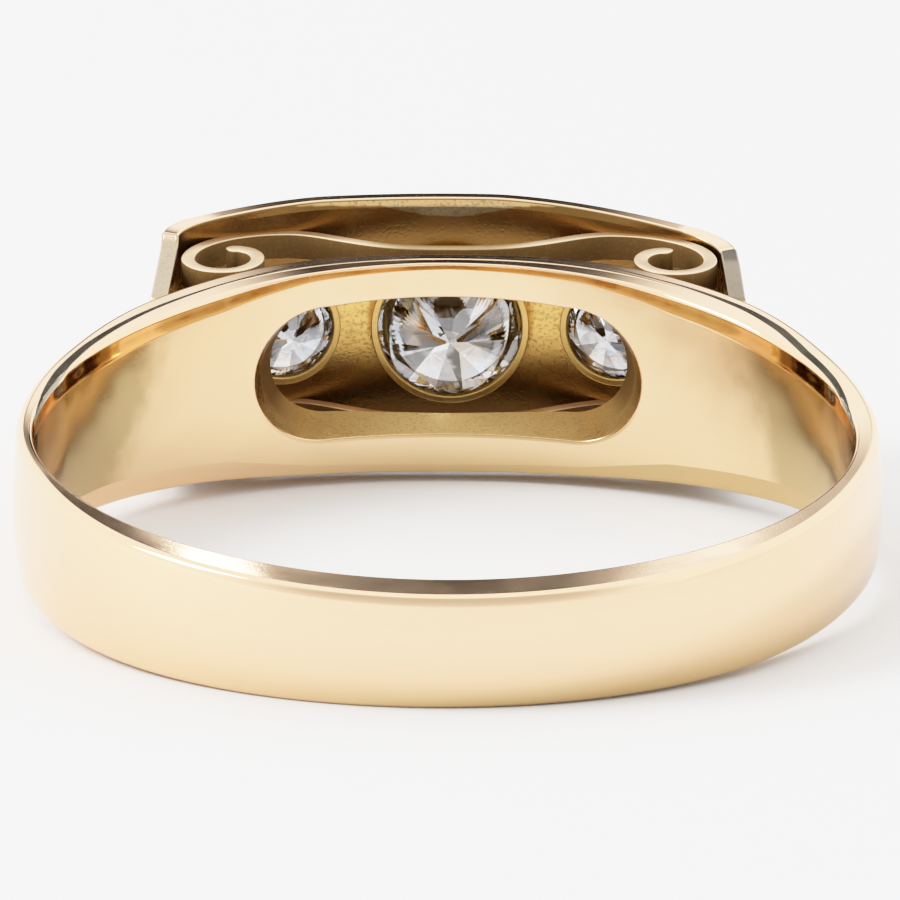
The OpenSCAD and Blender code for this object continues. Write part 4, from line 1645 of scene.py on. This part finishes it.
# These finishes paint shade and reflection low down, in the satin's flanks and where the wire dips;
# their darkness sets the painted shade in the gallery
GOLD_FINISHES = {
    "polished_gold": dict(
        tone=GOLD, rough=0.05, smudge_rough=0.03, unrolled=True, low=(0.5, 1.3), creased=True,
        Lines_per_mm=(1.2, 9, 9), Line_depth=0.00008, Waves_per_mm=0.35, Wave_depth=0.006,
        Pit_depth=0.00006,
    ),
    "satin_gold": dict(
        tone=SATIN_TONE, rough=0.1, smudge_rough=0.06, unrolled=True, darkness=0.0,
        low=(1.7, 2.6), flanks=0.9, Lines_per_mm=(0.35, 24, 24), Line_depth=0.0009,
        Waves_per_mm=0.7, Wave_depth=0.03, Pit_depth=0.0003,
    ),
    "filed_gold": dict(
        tone=FILED_TONE, rough=0.26, smudge_rough=0.08, pit_shade=0.4, Lines_per_mm=(6, 6, 2),
        Line_depth=0.0015, Waves_per_mm=0.9, Wave_depth=0.003, Pit_depth=0.002,
    ),
    "wire_gold": dict(
        tone=WIRE_TONE, rough=0.34, smudge_rough=0.1, pit_shade=0.15, dip=True,
        Lines_per_mm=(3, 3, 8), Line_depth=0.0006, Waves_per_mm=0.9, Wave_depth=0.006,
        Pit_depth=0.0006,
    ),
    "turned_gold": dict(
        tone=TURNED_TONE, rough=0.24, smudge_rough=0.08, darkness=0.25, pit_shade=0.2,
        polished_top=True, Lines_per_mm=(6, 6, 2), Line_depth=0.0006, Waves_per_mm=0.9,
        Wave_depth=0.003, Pit_depth=0.0008,
    ),
    "dull_edge": dict(
        tone=EDGE_TONE, rough=0.2, smudge_rough=0.1, darkness=0.0, pit_shade=0.3, right_shade=0.7,
        Lines_per_mm=(12, 1, 4), Line_depth=0.001, Waves_per_mm=0.9, Wave_depth=0.004,
        Pit_depth=0.0008,
    ),
}
for name, settings in GOLD_FINISHES.items():
    make_gold(finish[name], **settings)

# %% [markdown]
# The plate's underside has its own tones: a lighter filed border, a grey shine just inside it, a
# warm middle seen through the window, and painted shade behind the strips.

# %% The brushed underside
BORDER_TONE = (1.0, 0.6, 0.24, 1)
SHINE_TONE = (0.36, 0.29, 0.17, 1)
MIDDLE_TONE = (0.95, 0.55, 0.15, 1)
# Painted shade on the underside, behind the strips
DEEP_SHADE_TONE = (0.21, 0.1, 0.025, 1)
SCRATCH_TONE = (0.2, 0.12, 0.05, 1)
GRIME_TONE = (0.16, 0.1, 0.04, 1)
# Heights from the ring's middle plane at which one tone gives way to the next, in mm
DEEP_SHADE_LIMITS, SHINE_LIMITS, BORDER_LIMITS = (0.5, 1.5), (2.62, 2.67), (2.86, 2.92)
# How fast the shine and the border rise towards the sides, and how ragged their edges are
SHINE_BOW, BORDER_BOW, RAGGED, RAGGED_PER_MM = 0.11, 0.008, 0.1, 2.5
# How much the scratches and the grime darken the underside
UNDER_MARKS = (("Lines", 0.35, SCRATCH_TONE), ("Pits", 0.5, GRIME_TONE))


def make_underside(material):
    tree, ring, work, dull = make_gold(
        material, MIDDLE_TONE, 0.24, 0.08, darkness=0.0, Lines_per_mm=(0.8, 12, 12),
        Line_depth=0.0015, Waves_per_mm=0.5, Wave_depth=0.003, Pit_depth=0.0015,
    )
    x = add(tree, "ShaderNodeSeparateXYZ", {0: ring.outputs["Place"]}).outputs["X"]
    square = maths(tree, "MULTIPLY", x, x)
    ragged = noise(tree, ring.outputs["Place"], RAGGED_PER_MM, 5.0)
    height = maths(tree, "MULTIPLY_ADD", ragged, RAGGED, dull.outputs["Height"])
    # The shine is a lens: its lower edge rises to the sides until it meets the border
    lens, border = (
        maths(tree, "SUBTRACT", height, maths(tree, "MULTIPLY", square, bow))
        for bow in (SHINE_BOW, BORDER_BOW)
    )
    # Painted shade: darker from the middle towards the strips
    colour = blend(
        tree, between(tree, dull.outputs["Height"], *DEEP_SHADE_LIMITS), MIDDLE_TONE, DEEP_SHADE_TONE,
    )
    colour = blend(tree, between(tree, lens, *SHINE_LIMITS), colour, SHINE_TONE)
    colour = blend(tree, between(tree, border, *BORDER_LIMITS), colour, BORDER_TONE)
    for mark, share, tone in UNDER_MARKS:
        colour = blend(tree, maths(tree, "MULTIPLY", work.outputs[mark], share), colour, tone)
    set_shader(material, Base_Color=colour)


make_underside(finish["brushed_gold"])

# %% [markdown]
# ## The stones
# Diamond bends light more than any other clear stone. The facets do the work, with a painted
# reflection tone on each facet. A faint haze of skin grease on the back facets keeps them from
# being perfect, as on a ring that is worn.

# %% Clear stone
WARM_FIRE, COOL_FIRE = (1.0, 0.9, 0.8, 1), (0.84, 0.9, 1.0, 1)
# The darkest painted reflection on a facet
DARK_FACET_REFLECTION = (0.004, 0.003, 0.002, 1)
HAZE_TONE = (0.5, 0.5, 0.5, 1)
# Patches per mm of the haze and of the fire, and where they begin and are full
HAZE_PER_MM, FIRE_PER_MM = 1.6, 1.1
HAZE_LIMITS, FIRE_LIMITS, DULL_LIMITS = (0.5, 0.7), (0.42, 0.6), (0.45, 0.75)
HAZE_SHARE, DULL_ROUGH = 0.4, 0.05
DIAMOND_IOR = 2.42


def make_clear_stone(material):
    tree = material.node_tree
    place = ring_place(tree).outputs["Place"]
    # Each facet's painted reflection tone, from dark to full
    tone = add(tree, "ShaderNodeAttribute", attribute_name="facet_reflection").outputs["Fac"]
    haze, fire = noise(tree, place, HAZE_PER_MM, 3.0), noise(tree, place, FIRE_PER_MM, 0.0)
    tint = blend(tree, between(tree, fire, *FIRE_LIMITS), WARM_FIRE, COOL_FIRE)
    # Light is tinted by the root of this colour each time it crosses the surface
    tint = blend(tree, maths(tree, "POWER", tone, 2.0), DARK_FACET_REFLECTION, tint)
    hazy = maths(tree, "MULTIPLY", between(tree, haze, *HAZE_LIMITS), HAZE_SHARE)
    tint = blend(tree, hazy, tint, HAZE_TONE)
    rough = maths(tree, "MULTIPLY", between(tree, haze, *DULL_LIMITS), DULL_ROUGH)
    set_shader(
        material, Base_Color=tint, Roughness=rough, IOR=DIAMOND_IOR, Transmission_Weight=1.0,
    )


make_clear_stone(finish["cut_stone"])

# %% [markdown]
# ## The table, the light and the film
# A plain white table fills the picture. The room is a white tent. Dark cloths hang behind the
# ring, where its flat rims look, and small bright slits between them make the sharp highlights. A
# soft lamp stands on the left, for the long highlight.

# %% The table
TABLE_HALF = 1.5
TABLE_GRAIN = 900.0
TABLE_TONES = (0.83, 0.83, 0.832, 1), (0.85, 0.85, 0.852, 1)


def make_table(material):
    data = bpy.data.meshes.new("table")
    corners = [(x * TABLE_HALF, y * TABLE_HALF, 0) for x, y in ((-1, -1), (1, -1), (1, 1), (-1, 1))]
    data.from_pydata(corners, [], [(0, 1, 2, 3)])
    data.materials.append(material)
    put_in_scene("table", data)
    tree = material.node_tree
    where = tree.nodes.new("ShaderNodeTexCoord")
    grain = noise(tree, where.outputs["Object"], TABLE_GRAIN, 2.0)
    set_shader(material, Base_Color=blend(tree, grain, *TABLE_TONES), Roughness=0.7)


make_table(finish["table_top"])

# %% The room
SKY = 1.15
SKY_PATCHES = (
    # heights from, to and softness; turns from the far side from, to and softness; brightness.
    # All are in degrees, and turns up to 180 count both ways round
    ((13, 23.5, 6), (-9, 9, 3), 0.015),
    ((23, 30, 2), (-3, -1.6, 0.35), 0.05),
    ((24.6, 25.6, 0.4), (0.3, 1.0, 0.4), 1.4),
    ((25.3, 26.0, 0.3), (-1.42, -1.02, 0.12), 6.0),
    ((6, 50, 14), (150, 180, 35), 0.5),
)


def make_world():
    world = bpy.data.worlds.new("studio")
    world.use_nodes = True
    tree = world.node_tree
    background = tree.nodes["Background"]
    way = add(tree, "ShaderNodeSeparateXYZ", {
        0: tree.nodes.new("ShaderNodeTexCoord").outputs["Generated"],
    })
    x, y, z = (way.outputs[k] for k in "XYZ")
    degrees = 180 / math.pi
    height = maths(tree, "MULTIPLY", maths(tree, "ARCSINE", z), degrees)
    # Degrees round from the far side, to the right
    turned = maths(tree, "MULTIPLY", maths(tree, "ARCTAN2", x, y), degrees)
    apart = maths(tree, "ABSOLUTE", turned)

    def window(value, low, high, soft):
        """1 between low and high, falling off softly outside."""
        up, down = between(tree, value, low - soft, low), between(tree, value, high + soft, high)
        return maths(tree, "MULTIPLY", up, down)

    light = SKY
    for heights, turns, level in SKY_PATCHES:
        across = window(apart if turns[1] == 180 else turned, *turns)
        mask = maths(tree, "MULTIPLY", window(height, *heights), across)
        mix = add(tree, "ShaderNodeMix", {"Factor": mask, "A": light, "B": level})
        light = mix.outputs["Result"]
    tree.links.new(light, background.inputs["Strength"])
    background.inputs["Color"].default_value = (1, 1, 1, 1)
    bpy.context.scene.world = world
    print("room:", len(SKY_PATCHES), "patches on a sky of", SKY)


make_world()

# %% The lamp
LAMP_WAY = (-0.75, -0.1, 0.66)
LAMP_AWAY, LAMP_SIZE, LAMP_POWER = 0.5, 0.2, 1.1


def softbox(name, towards, away, size, power):
    """A square area light that looks at the ring from a direction."""
    data = bpy.data.lights.new(name, "AREA")
    data.shape, data.size, data.energy = "SQUARE", size, power
    light = put_in_scene(name, data)
    way = Vector(towards).normalized()
    light.location = way * away
    light.rotation_euler = way.to_track_quat("Z", "Y").to_euler()
    print("lamp at", [round(v, 2) for v in light.location], "m")


softbox("key", LAMP_WAY, LAMP_AWAY, LAMP_SIZE, LAMP_POWER)

# %% [markdown]
# The film runs softly into white, so the gold's highlights turn cream instead of yellow.

# %% The film
FILM_SPEED = 2.35
FILM_REACH = 4.0
FILM_STEPS = (0.01, 0.03, 0.06, 0.1, 0.15, 0.22, 0.3, 0.4, 0.55, 0.75)
# The curve that works on all three colours at once
COMBINED = 3


def set_film():
    look = bpy.context.scene.view_settings
    look.view_transform = "Standard"
    look.use_curve_mapping = True
    curves = look.curve_mapping
    curves.white_level = (FILM_REACH,) * 3
    curve = curves.curves[COMBINED]
    for x in FILM_STEPS:
        curve.points.new(x, 1 - math.exp(-FILM_SPEED * FILM_REACH * x))
    curve.points[-1].location = (1, 1)
    curves.update()
    print("film: half white is reached at a brightness of", round(math.log(2) / FILM_SPEED, 2))


set_film()

# %% [markdown]
# ## The pieces take the CAD solids' place
# Each piece rides on the ring's one body, and the CAD solid that it stands for is hidden.

# %% Put the pieces in place of the CAD solids
for piece in [band, plate, *strips, *collets]:
    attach(piece, "root")
    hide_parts("ring_mount")
for name, piece in stones.items():
    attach(piece, "root")
    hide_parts(name + "_stone")
